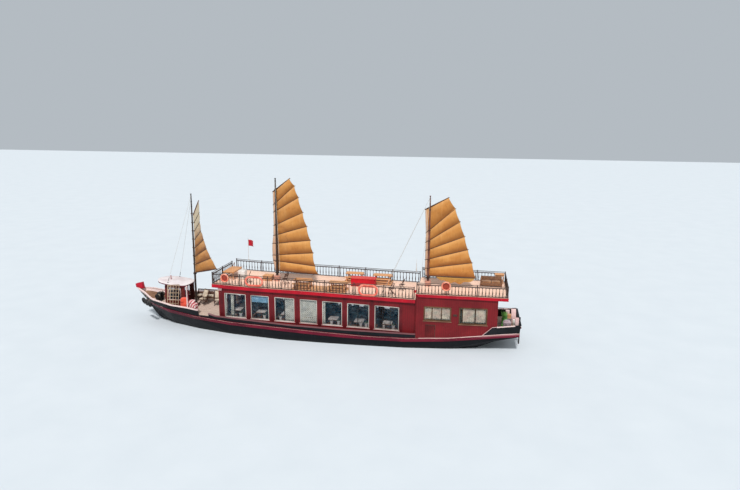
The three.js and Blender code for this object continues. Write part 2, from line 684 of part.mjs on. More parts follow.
/** Part of the saloon roof, as deep under its upper face as given. */
function roofBlock(x0, x1, y0, y1, depth) {
  const upper = stationsIn(x0, x1, ROOF_LINE).map((x) => [x, roofZ(x)]);
  const lower = upper.map(([x, z]) => [x, z - depth]);
  return prism('y', [...lower, ...upper.reverse()], y0, y1);
}

function buildSaloonRoof() {
  const x0 = SALOON.x0;
  const x1 = ROOF.frontX;
  const w = SALOON.bandWall;
  const step = ROOF_STEP;
  return join(
    roofBlock(x0, x1, -ROOF.y, ROOF.y, SALOON.deckThickness),
    roofBlock(x0, x1, ROOF.y - w, ROOF.y, SALOON.band),
    roofBlock(x0, x1, -ROOF.y, -ROOF.y + w, SALOON.band),
    roofBlock(x1 - w, x1, -ROOF.y, ROOF.y, SALOON.band),
    box(x0, x0 + step.length, -step.halfWidth, step.halfWidth, roofZ(x0) - 20, roofZ(x0) + step.height),
  );
}

add('upper_deck', buildSaloonRoof(), PAINT.red);

/* Stern cabin */

const underSternDeck = () => STERN_DECK.z - SALOON.deckThickness - SEAT;
add('stern_cabin_front', slab(
  BULKHEAD.x0, BULKHEAD.x1, -2180, 2180, onDeck, underSternDeck,
), PAINT.maroon);

function sternSideRing(x) {
  const t = (x - STERN.x1) / (STERN.x0 - STERN.x1);
  const topY = STERN.topFore + (STERN.topAft - STERN.topFore) * t;
  const topZ = STERN_DECK.z - SALOON.deckThickness - SEAT;
  const footY = deckY(x) - 15;
  const footZ = deckZ(x) + SEAT;
  const w = STERN.wall;
  return [[footY, footZ], [topY, topZ], [topY - w, topZ], [footY - w, footZ]]
    .map(([y, z]) => new THREE.Vector3(x, y, z));
}

function sternPanel(withHatch) {
  const panel = loft(stationsIn(STERN.x0, STERN.x1).map(sternSideRing));
  const openings = STERN_WINDOWS.map((w) => box(w.x0, w.x1, 1500, 3000, w.z0, w.z1));
  const h = SIDE_HATCH;
  if (withHatch) openings.push(box(h.x0 - CLEAR, h.x1 + CLEAR, 1500, 3000, h.z0 - CLEAR, h.z1 + CLEAR));
  return cut(panel, ...openings);
}

/** Hinge of the side hatch, along its leaning fore edge. */
function sideHatchHinge() {
  const h = SIDE_HATCH;
  const [foot, top] = sternSideRing(h.x1);
  const at = (z) => [h.x1 - CLEAR, foot.y + ((top.y - foot.y) * (z - foot.z)) / (top.z - foot.z) - 15, z];
  return hinge(at(h.z0 + CLEAR), at(h.z1 - CLEAR), [1, 0, 0], [100, 680]);
}

const hatchHinge = sideHatchHinge();
add('stern_cabin_side_port', join(sternPanel(true), ...hatchHinge.eyes), PAINT.maroon);
add('stern_cabin_side_starboard', mirrored(sternPanel(false)), PAINT.maroon);

/** Hatch low in the port wall: a slice of the wall itself, thinner than it. */
function buildSideHatch() {
  const h = SIDE_HATCH;
  const rings = [h.x0, h.x1].map((x) => {
    const [foot, top] = sternSideRing(x);
    const y = (z) => foot.y + ((top.y - foot.y) * (z - foot.z)) / (top.z - foot.z);
    return [[y(h.z0) - 15, h.z0], [y(h.z1) - 15, h.z1], [y(h.z1) - 50, h.z1], [y(h.z0) - 50, h.z0]]
      .map(([py, z]) => new THREE.Vector3(x, py, z));
  });
  return hung(loft(rings), hatchHinge);
}

add('side_hatch', buildSideHatch(), PAINT.maroon);

function buildSternAft() {
  const x0 = STERN.x0 - STERN.wall - SEAT;
  const x1 = STERN.x0 - SEAT;
  const topZ = STERN_DECK.z - SALOON.deckThickness - SEAT;
  const foot = (x) => deckZ(x) + SEAT;
  const footY = deckY(x0) - 20;
  const outline = [[-footY, 0], [footY, 0], [STERN.topAft - 5, topZ], [-STERN.topAft + 5, topZ]];
  const panel = prism('x', outline, x0, x1);
  const below = prism('y', [[x0 - 10, -100], [x1 + 10, -100], [x1 + 10, foot(x1 + 10)], [x0 - 10, foot(x0 - 10)]], -3000, 3000);
  const d = DOORWAY;
  return cut(panel, below, box(x0 - 50, x1 + 50, -d.halfWidth, d.halfWidth, 0, deckZ(x1) + d.height));
}

const sternDoor = crossDoor(
  STERN.x0 - SEAT - 15, STERN.x0 - SEAT - 60,
  deckZ(STERN.x0 - STERN.wall), deckZ(STERN.x0) + DOORWAY.height,
);
add('stern_cabin_aft', join(buildSternAft(), ...sternDoor.eyes), PAINT.maroon);
add('stern_cabin_door', sternDoor.leaf, PAINT.timber);

function buildSternDeck() {
  const fore = BULKHEAD.x1;
  const aft = STERN_DECK.aftX;
  const outline = (inset) => [
    [aft + inset, -STERN_DECK.aftY + inset], [fore - inset, -STERN_DECK.foreY + inset],
    [fore - inset, STERN_DECK.foreY - inset], [aft + inset, STERN_DECK.aftY - inset],
  ];
  const z = STERN_DECK.z;
  const block = prism('z', outline(0), z - STERN_DECK.band, z);
  const hollow = prism('z', outline(SALOON.bandWall), z - 1000, z - SALOON.deckThickness);
  const openFront = box(fore - 200, fore + 10, -3000, 3000, z - 1000, z - SALOON.deckThickness);
  return cut(block, hollow, openFront);
}

add('stern_deck', buildSternDeck(), PAINT.red);

/* Wheelhouse */

const wheelhouseRoofZ = (x) => WHEELHOUSE_ROOF.aftZ + WHEELHOUSE_ROOF.slope * (x - WHEELHOUSE_ROOF_EDGE[0].x);
const wheelhouseTop = (x) => wheelhouseRoofZ(x) - WHEELHOUSE_ROOF.thickness - SEAT;

function wheelhouseSide() {
  const h = WHEELHOUSE;
  const w = WHEELHOUSE_WINDOW;
  const panel = slab(h.x0 + h.wall + SEAT, h.x1 - h.wall - SEAT, h.y - h.wall, h.y, onDeck, wheelhouseTop);
  return cut(panel, box(w.x0, w.x1, 0, 2000, w.z0, w.z1));
}

const wheelhousePanel = wheelhouseSide();
add('wheelhouse_side_port', wheelhousePanel, PAINT.maroon);
add('wheelhouse_side_starboard', mirrored(wheelhousePanel), PAINT.maroon);
{
  const h = WHEELHOUSE;
  const o = WHEELHOUSE_OPENING;
  add('wheelhouse_back', cut(
    slab(h.x0, h.x0 + h.wall, -h.y, h.y, onDeck, wheelhouseTop),
    box(h.x0 - 100, h.x0 + 200, -o.halfWidth, o.halfWidth, 0, o.headZ),
  ), PAINT.maroon);
  add('wheelhouse_front', cut(
    slab(h.x1 - h.wall, h.x1, -h.y, h.y, onDeck, wheelhouseTop),
    box(h.x1 - 200, h.x1 + 100, -640, 640, 2150, 2900),
  ), PAINT.maroon);
}

/** Sloping roof of the wheelhouse, rounded towards the bow, with a post at its aft edge. */
function buildWheelhouseRoof() {
  const edge = [
    ...WHEELHOUSE_ROOF_EDGE.map(({ x, y }) => [x, y]),
    ...WHEELHOUSE_ROOF_EDGE.map(({ x, y }) => [x, -y]).reverse(),
  ];
  const ring = (drop) => edge.map(([x, y]) => new THREE.Vector3(x, y, wheelhouseRoofZ(x) - drop));
  const p = ROOF_POST;
  const post = bar([p.x, p.y, deckZ(p.x + p.radius) + SEAT], [p.x, p.y, wheelhouseRoofZ(p.x) - 40], p.radius, 8);
  return join(loft([ring(WHEELHOUSE_ROOF.thickness), ring(0)]), post);
}

add('wheelhouse_roof', buildWheelhouseRoof(), PAINT.white);

/** Steering pedestal and wheel inside the wheelhouse. */
const HELM = { x: 11800, shaftZ: 2320, wheelX: 11640, radius: 320, spokes: 6 };
{
  const h = HELM;
  const post = slab(h.x - 60, h.x + 160, -110, 110, onDeck, () => h.shaftZ + 110);
  const hole = pinHole([h.x - 100, 0, h.shaftZ], [h.x + 100, 0, h.shaftZ], 22);
  add('helm_pedestal', cut(post, hole), PAINT.timber);
  const shaft = bar([h.wheelX - 30, 0, h.shaftZ], [h.x + 90, 0, h.shaftZ], 22, 12);
  const hub = bar([h.wheelX - 35, 0, h.shaftZ], [h.wheelX + 35, 0, h.shaftZ], 60, 12);
  const outer = bar([h.wheelX - 20, 0, h.shaftZ], [h.wheelX + 20, 0, h.shaftZ], h.radius, 24);
  const inner = bar([h.wheelX - 40, 0, h.shaftZ], [h.wheelX + 40, 0, h.shaftZ], h.radius - 45, 24);
  const spokes = Array.from({ length: h.spokes / 2 }, (_, i) => {
    const angle = (i * 2 * Math.PI) / h.spokes;
    const dy = Math.cos(angle) * (h.radius + 90);
    const dz = Math.sin(angle) * (h.radius + 90);
    return bar([h.wheelX, -dy, h.shaftZ - dz], [h.wheelX, dy, h.shaftZ + dz], 14, 8);
  });
  add('helm_wheel', join(cut(outer, inner), shaft, hub, ...spokes), PAINT.timber);
}

/* Rails of the upper decks */

/** Rail panel along a run with open bays; kinks are the places where its foot line bends. */
function railPanel(length, footAt, topAt, toPoint, kinks = []) {
  const bays = Math.max(1, Math.round(length / RAIL.pitch));
  const step = (length - RAIL.baluster) / bays;
  const run = [0, ...kinks, length];
  const shape = [...run.map((u) => [u, footAt(u)]), ...run.map((u) => [u, topAt(u)]).reverse()];
  const holes = Array.from({ length: bays }, (_, i) => {
    const wide = i % 4 === 0 ? RAIL.post : RAIL.baluster;
    const a = i === 0 ? RAIL.post : i * step + wide;
    const b = i === bays - 1 ? length - RAIL.post : (i + 1) * step;
    return [
      [a, footAt(a) + RAIL.foot + RAIL.bar], [b, footAt(b) + RAIL.foot + RAIL.bar],
      [b, topAt(b) - RAIL.bar], [a, topAt(a) - RAIL.bar],
    ];
  });
  const feet = Array.from({ length: Math.ceil(bays / 4) }, (_, i) => {
    const a = i * 4 * step + RAIL.post;
    const b = Math.min((i + 1) * 4 * step, length - RAIL.post);
    return [[a, footAt(a) - 40], [b, footAt(b) - 40], [b, footAt(b) + RAIL.foot], [a, footAt(a) + RAIL.foot]];
  }).filter(([a, b]) => b[0] > a[0] + 50);
  const body = (outline, from, to) => loft([
    outline.map(([u, z]) => toPoint(u, z, from)), outline.map(([u, z]) => toPoint(u, z, to)),
  ]);
  const tools = [...holes, ...feet].map((outline) => body(outline, -200, 200));
  return cut(body(shape, -RAIL.thickness / 2, RAIL.thickness / 2), ...tools);
}

/** Rail along one side of the saloon roof, port side. */
function saloonRailSide() {
  const x0 = SALOON.x0 + 60;
  const x1 = ROOF.frontX - RAIL_INSET;
  const y = ROOF.y - RAIL_INSET - RAIL.thickness / 2;
  const foot = (u) => roofZ(x1 - u) + SEAT;
  const kinks = ROOF_LINE.map((row) => x1 - row.x).filter((u) => u > 0 && u < x1 - x0).reverse();
  const place = (u, z, w) => new THREE.Vector3(x1 - u, y + w, z);
  return railPanel(x1 - x0, foot, (u) => foot(u) + RAIL.height, place, kinks);
}

/** Ring of a life ring or oval float: straight in the middle, with rounded ends. */
function floatOutline(halfLength, halfHeight) {
  const straight = halfLength - halfHeight;
  return Array.from({ length: 12 }, (_, i) => {
    const angle = ((i + 0.5) * Math.PI) / 6;
    const side = Math.cos(angle) > 0 ? straight : -straight;
    return [side + Math.cos(angle) * halfHeight, Math.sin(angle) * halfHeight];
  });
}

/** Life rings and floats of one rail, as flat rings against its outer face. */
function floatsOf(rail) {
  return FLOATS.filter((row) => row.rail === rail).map((row) => {
    const at = (outline) => outline.map(([u, v]) => [row.x + u, row.z + v]);
    const outer = at(floatOutline(row.halfLength, row.halfHeight));
    const inner = at(floatOutline(row.halfLength - row.tube, row.halfHeight - row.tube));
    const roofEdge = box(
      row.x - 1000, row.x + 1000, 2000, ROOF.y + SEAT, 3000, roofZ(row.x + row.halfLength) + 3,
    );
    const hollow = prism('y', inner, row.y - 50, row.y + 300);
    return cut(prism('y', outer, row.y, row.y + FLOAT_DEPTH), hollow, roofEdge);
  });
}

/** Poles on the top bar of the starboard rail: a flagpole and an aerial. */
function railPoles() {
  const y = -(ROOF.y - RAIL_INSET - RAIL.thickness / 2);
  return RAIL_POLES.map(({ x, topZ, radius }) => bar([x, y, roofZ(x) + RAIL.height - 20], [x, y, topZ], radius, 8));
}

/** Rail across the front of the saloon roof, short of the stair on the starboard side. */
function saloonRailFront() {
  const x = ROOF.frontX - RAIL_INSET - RAIL.thickness / 2;
  const y1 = ROOF.y - RAIL_INSET;
  const foot = () => roofZ(x) + SEAT + 1;
  return railPanel(y1 - STAIR_GAP.y1, foot, () => foot() + RAIL.height, (u, z, w) => new THREE.Vector3(x + w, y1 - u, z));
}

add('rail_port', join(saloonRailSide(), saloonRailFront(), ...floatsOf('saloon')), PAINT.timber);
add('rail_starboard', join(mirrored(saloonRailSide()), ...railPoles()), PAINT.timber);

function buildSternRail() {
  const d = STERN_DECK;
  const fore = { x: BULKHEAD.x1 - 60, y: d.foreY - RAIL_INSET - 25 };
  const aft = { x: d.aftX + RAIL_INSET + 25, y: d.aftY - RAIL_INSET - 25 };
  const length = Math.hypot(fore.x - aft.x, fore.y - aft.y);
  const ux = (aft.x - fore.x) / length;
  const uy = (aft.y - fore.y) / length;
  const foot = () => d.z + SEAT;
  const top = () => d.z + SEAT + STERN_RAIL_HEIGHT;
  const side = railPanel(length, foot, top, (u, z, w) => new THREE.Vector3(
    fore.x + ux * u - uy * w, fore.y + uy * u + ux * w, z,
  ));
  const across = railPanel(aft.y * 2 + 50, foot, top, (u, z, w) => new THREE.Vector3(aft.x + w, aft.y + 25 - u, z));
  return join(side, mirrored(side), across, ...floatsOf('stern'));
}

add('rail_stern', buildSternRail(), PAINT.timber);

/* Masts and sails */

function mastRadius(mast, z) {
  const t = (z - mast.footZ) / (mast.topZ - mast.footZ);
  return mast.footRadius + (mast.topRadius - mast.footRadius) * t;
}

/** Mast with its step, which stands on the deck line given, and the collar under its boom. */
function buildMast(mast, surface, stepHeight) {
  const topZ = surface(mast.x) + stepHeight;
  const pole = bar([mast.x, 0, mast.footZ], [mast.x, 0, mast.topZ], mast.footRadius, MAST_SIDES, mast.topRadius);
  const r = mastRadius(mast, mast.collarZ) + 55;
  const collar = bar([mast.x, 0, mast.collarZ - 70], [mast.x, 0, mast.collarZ], r, MAST_SIDES);
  const step = slab(mast.x - 210, mast.x + 210, -210, 210, surface, () => topZ);
  return join(pole, collar, step);
}

const onRoof = (x) => roofZ(x) + SEAT;
const onSternDeck = () => STERN_DECK.z + SEAT;
add('fore_mast', buildMast(MASTS.fore, onDeck, 180), PAINT.timber);
add('main_mast', buildMast(MASTS.main, onRoof, 420), PAINT.timber);
add('mizzen_mast', buildMast(MASTS.mizzen, onSternDeck, 380), PAINT.timber);

/** Place of a point of a sail: u aft from the mast along its swung chord. */
function sailPoint(mast, u, z, swing, across) {
  const a = THREE.MathUtils.degToRad(swing);
  const side = mast.tack * (mast.footRadius + SPAR.boom / 2 + 12) + across;
  return new THREE.Vector3(
    mast.x - u * Math.cos(a) - side * Math.sin(a) * -1,
    u * Math.sin(a) + side * Math.cos(a),
    z,
  );
}

function buildSail(mast, rows) {
  const ring = (row, thickness) => {
    const t = thickness / 2;
    return [
      sailPoint(mast, row.luffU, row.luffZ, row.swing, -t),
      sailPoint(mast, row.leechU, row.leechZ, row.swing, -t),
      sailPoint(mast, row.leechU, row.leechZ, row.swing, t),
      sailPoint(mast, row.luffU, row.luffZ, row.swing, t),
    ];
  };
  const cloth = loft(rows.map((row) => ring(row, SPAR.cloth)));
  const spars = rows.map((row, i) => {
    const size = i === 0 || i === rows.length - 1 ? SPAR.boom : SPAR.batten;
    const end = (u, z, lift, across) => sailPoint(mast, u, z + lift, row.swing, across);
    const corners = [[-size / 2, -size / 2], [size / 2, -size / 2], [size / 2, size / 2], [-size / 2, size / 2]];
    return loft([
      corners.map(([across, lift]) => end(row.luffU - 40, row.luffZ, lift, across)),
      corners.map(([across, lift]) => end(row.leechU + 60, row.leechZ, lift, across)),
    ]);
  });
  const parrels = [rows[0], rows[Math.floor(rows.length / 2)], rows[rows.length - 1]].map((row, i) => {
    const t = (0 - row.luffU) / (row.leechU - row.luffU);
    const z = i === 0 ? mast.collarZ + SEAT + SPAR.parrelHeight / 2 : row.luffZ + (row.leechZ - row.luffZ) * t;
    const half = SPAR.parrelHeight / 2;
    const inner = mastRadius(mast, z - half);
    const outer = Math.max(inner + SPAR.parrelWall, mast.footRadius + 40);
    const hoop = bar([mast.x, 0, z - half], [mast.x, 0, z + half], outer, MAST_SIDES);
    const eye = pinHole([mast.x, 0, z - half - 10], [mast.x, 0, z + half + 10], inner, MAST_SIDES);
    return { hoop, eye };
  });
  const body = join(cloth, ...spars, ...parrels.map((parrel) => parrel.hoop));
  return cut(body, ...parrels.map((parrel) => parrel.eye));
}

add('fore_sail', buildSail(MASTS.fore, SAILS.fore), PAINT.sail);
add('main_sail', buildSail(MASTS.main, SAILS.main), PAINT.sail);
add('mizzen_sail', buildSail(MASTS.mizzen, SAILS.mizzen), PAINT.sail);

/* Fittings and furniture */

/** Steep stair from the foredeck up to the saloon roof, with a handrail on its outer side. */
function buildStair() {
  const st = STAIR;
  const topX = ROOF.frontX + SEAT;
  const topZ = roofZ(ROOF.frontX) - 10;
  const footZ = deckZ(st.footX) + SEAT;
  const rise = (x) => footZ + ((st.footX - x) / (st.footX - topX)) * (topZ - footZ);
  const stringer = (y) => prism('y', [
    [st.footX - st.depth / 2, onDeck(st.footX - st.depth / 2) + 6], [st.footX, onDeck(st.footX)],
    [st.footX, footZ + 120], [topX, topZ], [topX, topZ - 250],
  ], y, y + st.stringer);
  const treads = Array.from({ length: st.treads }, (_, i) => {
    const x = st.footX - ((i + 1) / (st.treads + 1)) * (st.footX - topX);
    const z = rise(x);
    return box(x - 90, Math.min(x + 90, st.footX), st.y0 + 10, st.y1 - 10, z - 60, z - 25);
  });
  const y = st.y0 + st.stringer / 2;
  const railEnds = [[st.footX - 60, rise(st.footX - 60)], [topX + 60, rise(topX + 60)]];
  const handrail = bar([railEnds[0][0], y, railEnds[0][1] + st.rail], [railEnds[1][0], y, railEnds[1][1] + st.rail], 22, 8);
  const posts = railEnds.map(([x, z]) => bar([x, y, z - 60], [x, y, z + st.rail + 5], 20, 8));
  return join(stringer(st.y0), stringer(st.y1 - st.stringer), ...treads, handrail, ...posts);
}

add('stair', buildStair(), PAINT.timber);

/** Grid of laths leaned against the port edge of the wheelhouse roof. */
const RACK = { columns: 3, rows: 5, foot: [[10830, 1290], [11680, 1400]], head: [10760, 11540], headZ: 3270, lath: 40 };

function buildRack() {
  const r = RACK;
  const [a, b] = [WHEELHOUSE_ROOF_EDGE[2], WHEELHOUSE_ROOF_EDGE[3]];
  const roofEdge = (x) => a.y + ((b.y - a.y) * (x - a.x)) / (b.x - a.x);
  const foot = r.foot.map(([x, y]) => new THREE.Vector3(x, y, deckZ(x + r.lath / 2) + SEAT));
  const head = r.head.map((x) => new THREE.Vector3(x, roofEdge(x + r.lath / 2) + r.lath / 2 + SEAT, r.headZ));
  const at = (u, v) => {
    const low = foot[0].clone().lerp(foot[1], u);
    return low.lerp(head[0].clone().lerp(head[1], u), v);
  };
  const half = r.lath / 2;
  const lath = (a, b, wide) => {
    const square = (p) => [[-1, -1], [1, -1], [1, 1], [-1, 1]].map(([i, j]) => p.clone()
      .addScaledVector(wide, i * half).add(new THREE.Vector3(0, j * half, 0)));
    return loft([square(a), square(b)]);
  };
  const alongX = new THREE.Vector3(1, 0, 0);
  const alongZ = new THREE.Vector3(0, 0, 1);
  const uprights = Array.from({ length: r.columns + 1 }, (_, i) => {
    const u = i / r.columns;
    const outer = i === 0 || i === r.columns;
    return lath(at(u, outer ? 0 : 0.06), at(u, 1), alongX);
  });
  const rungs = Array.from({ length: r.rows + 1 }, (_, i) => {
    const v = 0.06 + (0.92 * i) / r.rows;
    return lath(at(0, v), at(1, v), alongZ);
  });
  return join(...uprights, ...rungs);
}

add('boarding_rack', buildRack(), PAINT.white);

/** Windlass on the bow: a casing with a drum on each side. */
{
  const x = 13050;
  const z = deckZ(x) + 430;
  const casing = slab(x - 230, x + 230, -230, 230, onDeck, () => z + 260);
  const drums = bar([x, -430, z], [x, 430, z], 150, 12);
  const rims = [-430, 370].map((y) => bar([x, y, z], [x, y + 60, z], 200, 12));
  add('windlass', join(casing, drums, ...rims), PAINT.iron);
}

/** Bench with arms and a back, facing port: x span, y of its back, its surface and heights. */
function bench(x0, x1, y, depth, surface, seat, back) {
  const z = surface((x0 + x1) / 2);
  const leg = (x) => slab(x, x + 60, y, y + depth, surface, () => z + seat + 180);
  return join(
    box(x0, x1, y, y + depth, z + seat - 90, z + seat),
    box(x0, x1, y, y + 70, z + seat - 50, z + back),
    leg(x0),
    leg(x1 - 60),
  );
}

add('foredeck_bench', bench(8950, 10600, -1740, 600, onDeck, 420, 880), PAINT.timber);
add('wicker_sofa', bench(-13720, -12150, -1120, 640, onSternDeck, 400, 720), PAINT.timber);

/** Table between two benches, all three standing on the board given: centre and size. */
function tableSet(x, y, length, surface, height = 620) {
  const z = surface(x);
  const half = length / 2;
  const plank = (y0, y1, top) => box(x - half, x + half, y + y0, y + y1, z + top - 45, z + top);
  const legs = (y0, y1, top) => [-half + 120, half - 170].map((u) => box(x + u, x + u + 50, y + y0, y + y1, z, z + top - 20));
  return [
    plank(-330, 330, height), plank(-690, -430, 410), plank(430, 690, 410),
    ...legs(-250, 250, height), ...legs(-660, -460, 410), ...legs(460, 660, 410),
  ];
}

/** Low board on the saloon roof that carries the tables of one side. */
function tableBoard(x0, x1, y, halfWidth) {
  const upper = stationsIn(x0, x1, ROOF_LINE).map((x) => [x, onRoof(x) + 35]);
  const lower = upper.map(([x, z]) => [x, z - 35]);
  return prism('y', [...lower, ...upper.reverse()], y - halfWidth, y + halfWidth);
}

const DECK_TABLES = table(['side', 'x', 'y', 'length'], [
  ['port', 700, 1430, 1300],
  ['port', -1950, 1430, 1300],
  ['starboard', -2600, -1500, 1350],
  ['starboard', -4780, -1500, 1400],
]);

for (const side of ['port', 'starboard']) {
  const rows = DECK_TABLES.filter((row) => row.side === side);
  const ends = [...rows.map((r) => r.x - r.length / 2 - 60), ...rows.map((r) => r.x + r.length / 2 + 60)];
  const sets = rows.flatMap((row) => tableSet(row.x, row.y, row.length, (x) => onRoof(x) + 20));
  add(`deck_tables_${side}`, join(tableBoard(Math.min(...ends), Math.max(...ends), rows[0].y, 700), ...sets), PAINT.timber);
}

/** Plain table: a top on four legs, standing on a line. */
function plainTable(x0, x1, y0, y1, height, surface) {
  const z = surface((x0 + x1) / 2) + height;
  const places = [[x0 + 40, y0 + 40], [x1 - 100, y0 + 40], [x0 + 40, y1 - 100], [x1 - 100, y1 - 100]];
  const legs = places.map(([x, y]) => slab(x, x + 60, y, y + 60, surface, () => z - 20));
  return join(box(x0, x1, y0, y1, z - 50, z), ...legs);
}

add('fore_table', plainTable(6320, 7200, -900, 900, 620, onRoof), PAINT.timber);
add('red_table', join(
  slab(-4450, -2630, -530, 110, onRoof, () => onRoof(-3540) + 630),
  box(-4480, -2600, -560, 140, onRoof(-3540) + 600, onRoof(-3540) + 660),
), PAINT.red);
add('corner_table', plainTable(-13900, -13200, -2060, -1500, 720, onSternDeck), PAINT.timber);
add('mast_bench', slab(3520, 4200, -300, 330, onRoof, () => onRoof(3860) + 420), PAINT.timber);
add('water_tank', join(
  slab(5560, 6120, 0, 560, onRoof, () => onRoof(5840) + 760),
  box(5740, 5940, 180, 380, onRoof(5840) + 700, onRoof(5840) + 800),
), PAINT.white);

/** Locker and barrel on a low grating in the well at the stern. */
{
  const z = onDeck(-14200);
  const barrel = bar([-14680, 500, onDeck(-14680) + 25], [-14680, 500, onDeck(-14680) + 520], 170, 12);
  const grating = slab(-14855, -13950, -950, 750, onDeck, (x) => onDeck(x) + 40);
  add('stern_locker', join(grating, slab(-14480, -13980, -900, 380, onDeck, () => z + 560), barrel), PAINT.white);
}

/** Benches and tables of the saloon along the windows, on its raised floor. */
function buildSaloonSeating() {
  const floor = (x) => onDeck(x) + 45;
  const inner = SALOON.y - SALOON.wall - 10;
  const strip = slab(-7400, 6350, 1150, inner, onDeck, floor);
  const middle = slab(-4150, 6000, -1160, 1160, onDeck, floor);
  const tables = SALOON_WINDOWS.flatMap(({ x0, x1 }) => {
    const x = (x0 + x1) / 2;
    const z = floor(x) - 20;
    return [
      box(x - 330, x + 330, 1350, inner - 20, z + 690, z + 740),
      box(x - 40, x + 40, 1600, 1900, z, z + 700),
    ];
  });
  const pillars = SALOON_WINDOWS.slice(1).map(({ x0 }, i) => (x0 + SALOON_WINDOWS[i].x1) / 2);
  const benches = pillars.flatMap((x) => {
    const z = floor(x) - 20;
    return [
      box(x - 330, x + 330, 1300, inner - 20, z, z + 430),
      box(x - 35, x + 35, 1300, inner - 20, z, z + 980),
    ];
  });
  const port = join(strip, ...tables, ...benches);
  return join(port, mirrored(port), middle);
}

add('saloon_seating', buildSaloonSeating(), PAINT.timber);

export default junk;
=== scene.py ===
"""Motor tour junk with three battened lug sails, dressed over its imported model.

Metres. +X points to the bow, +Y to port and +Z up; the origin lies in the waterline plane.
"""
import logging
import math
from dataclasses import dataclass
from enum import Enum
from typing import Callable, Iterable, Sequence

import bmesh
import bpy
from mathutils import Matrix, Vector, noise


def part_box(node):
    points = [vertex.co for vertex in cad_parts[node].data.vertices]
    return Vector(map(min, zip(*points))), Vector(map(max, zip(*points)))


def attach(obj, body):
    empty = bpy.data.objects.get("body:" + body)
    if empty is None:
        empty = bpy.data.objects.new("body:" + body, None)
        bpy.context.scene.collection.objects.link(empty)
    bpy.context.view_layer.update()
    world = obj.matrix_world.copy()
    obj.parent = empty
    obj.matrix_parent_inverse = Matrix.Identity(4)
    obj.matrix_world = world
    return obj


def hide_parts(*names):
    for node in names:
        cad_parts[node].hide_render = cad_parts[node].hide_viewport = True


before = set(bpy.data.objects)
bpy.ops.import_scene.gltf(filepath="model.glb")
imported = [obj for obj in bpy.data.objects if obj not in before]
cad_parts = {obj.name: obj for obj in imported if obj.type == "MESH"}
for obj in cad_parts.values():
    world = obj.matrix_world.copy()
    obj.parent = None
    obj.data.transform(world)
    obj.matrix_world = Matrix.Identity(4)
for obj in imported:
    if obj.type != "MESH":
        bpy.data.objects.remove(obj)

LOG = logging.getLogger("junk")
Pair = tuple[float, float]
Pairs = tuple[Pair, ...]
Point = tuple[float, float, float]
Colour = tuple[float, float, float, float]
Socket = bpy.types.NodeSocket
Material = bpy.types.Material
UP = Vector((0.0, 0.0, 1.0))
AHEAD = Vector((1.0, 0.0, 0.0))
PORT = Vector((0.0, 1.0, 0.0))
CLEARANCE = 0.0006  # gap under a foot, so that it doesn't cut the deck
LEAF_TURN = 2.4  # radians from one leaf of a plant to the next


# Shader kit


def tint(code: str) -> Colour:
    """Linear colour of a six-digit sRGB code."""
    parts = [int(code[i:i + 2], 16) / 255 for i in (0, 2, 4)]
    red, green, blue = (c / 12.92 if c <= 0.04045 else ((c + 0.055) / 1.055) ** 2.4 for c in parts)
    return (red, green, blue, 1.0)


class Value:
    """A number in a material. Python maths on it adds Math nodes."""

    def __init__(self, shader: "Shader", socket: Socket) -> None:
        """Wraps an output socket of the shader."""
        self.shader = shader
        self.socket = socket

    def __add__(self, other: "Value | float") -> "Value":
        """Sum."""
        return self.shader.math("ADD", self, other)

    __radd__ = __add__

    def __mul__(self, other: "Value | float") -> "Value":
        """Product."""
        return self.shader.math("MULTIPLY", self, other)

    __rmul__ = __mul__

    def __sub__(self, other: "Value | float") -> "Value":
        """Difference."""
        return self.shader.math("SUBTRACT", self, other)

    def __rsub__(self, other: float) -> "Value":
        """Difference from a number."""
        return self.shader.math("SUBTRACT", other, self)

    def __truediv__(self, other: "Value | float") -> "Value":
        """Quotient."""
        return self.shader.math("DIVIDE", self, other)

    def __gt__(self, other: "Value | float") -> "Value":
        """One where it is greater."""
        return self.shader.math("GREATER_THAN", self, other)

    def __lt__(self, other: "Value | float") -> "Value":
        """One where it is less."""
        return self.shader.math("LESS_THAN", self, other)

    def whole(self) -> "Value":
        """Whole part."""
        return self.shader.math("FLOOR", self)

    def part(self) -> "Value":
        """Part after the whole number."""
        return self.shader.math("FRACT", self)

    def least(self, other: "Value | float") -> "Value":
        """Lesser of the two."""
        return self.shader.math("MINIMUM", self, other)

    def rise(self, low: float, high: float) -> "Value":
        """Zero below low, one above high and a smooth step between."""
        made = self.shader.node("MapRange", {"interpolation_type": "SMOOTHSTEP"},
                                {0: self, 1: low, 2: high, 3: 0.0, 4: 1.0})
        return Value(self.shader, made.outputs[0])


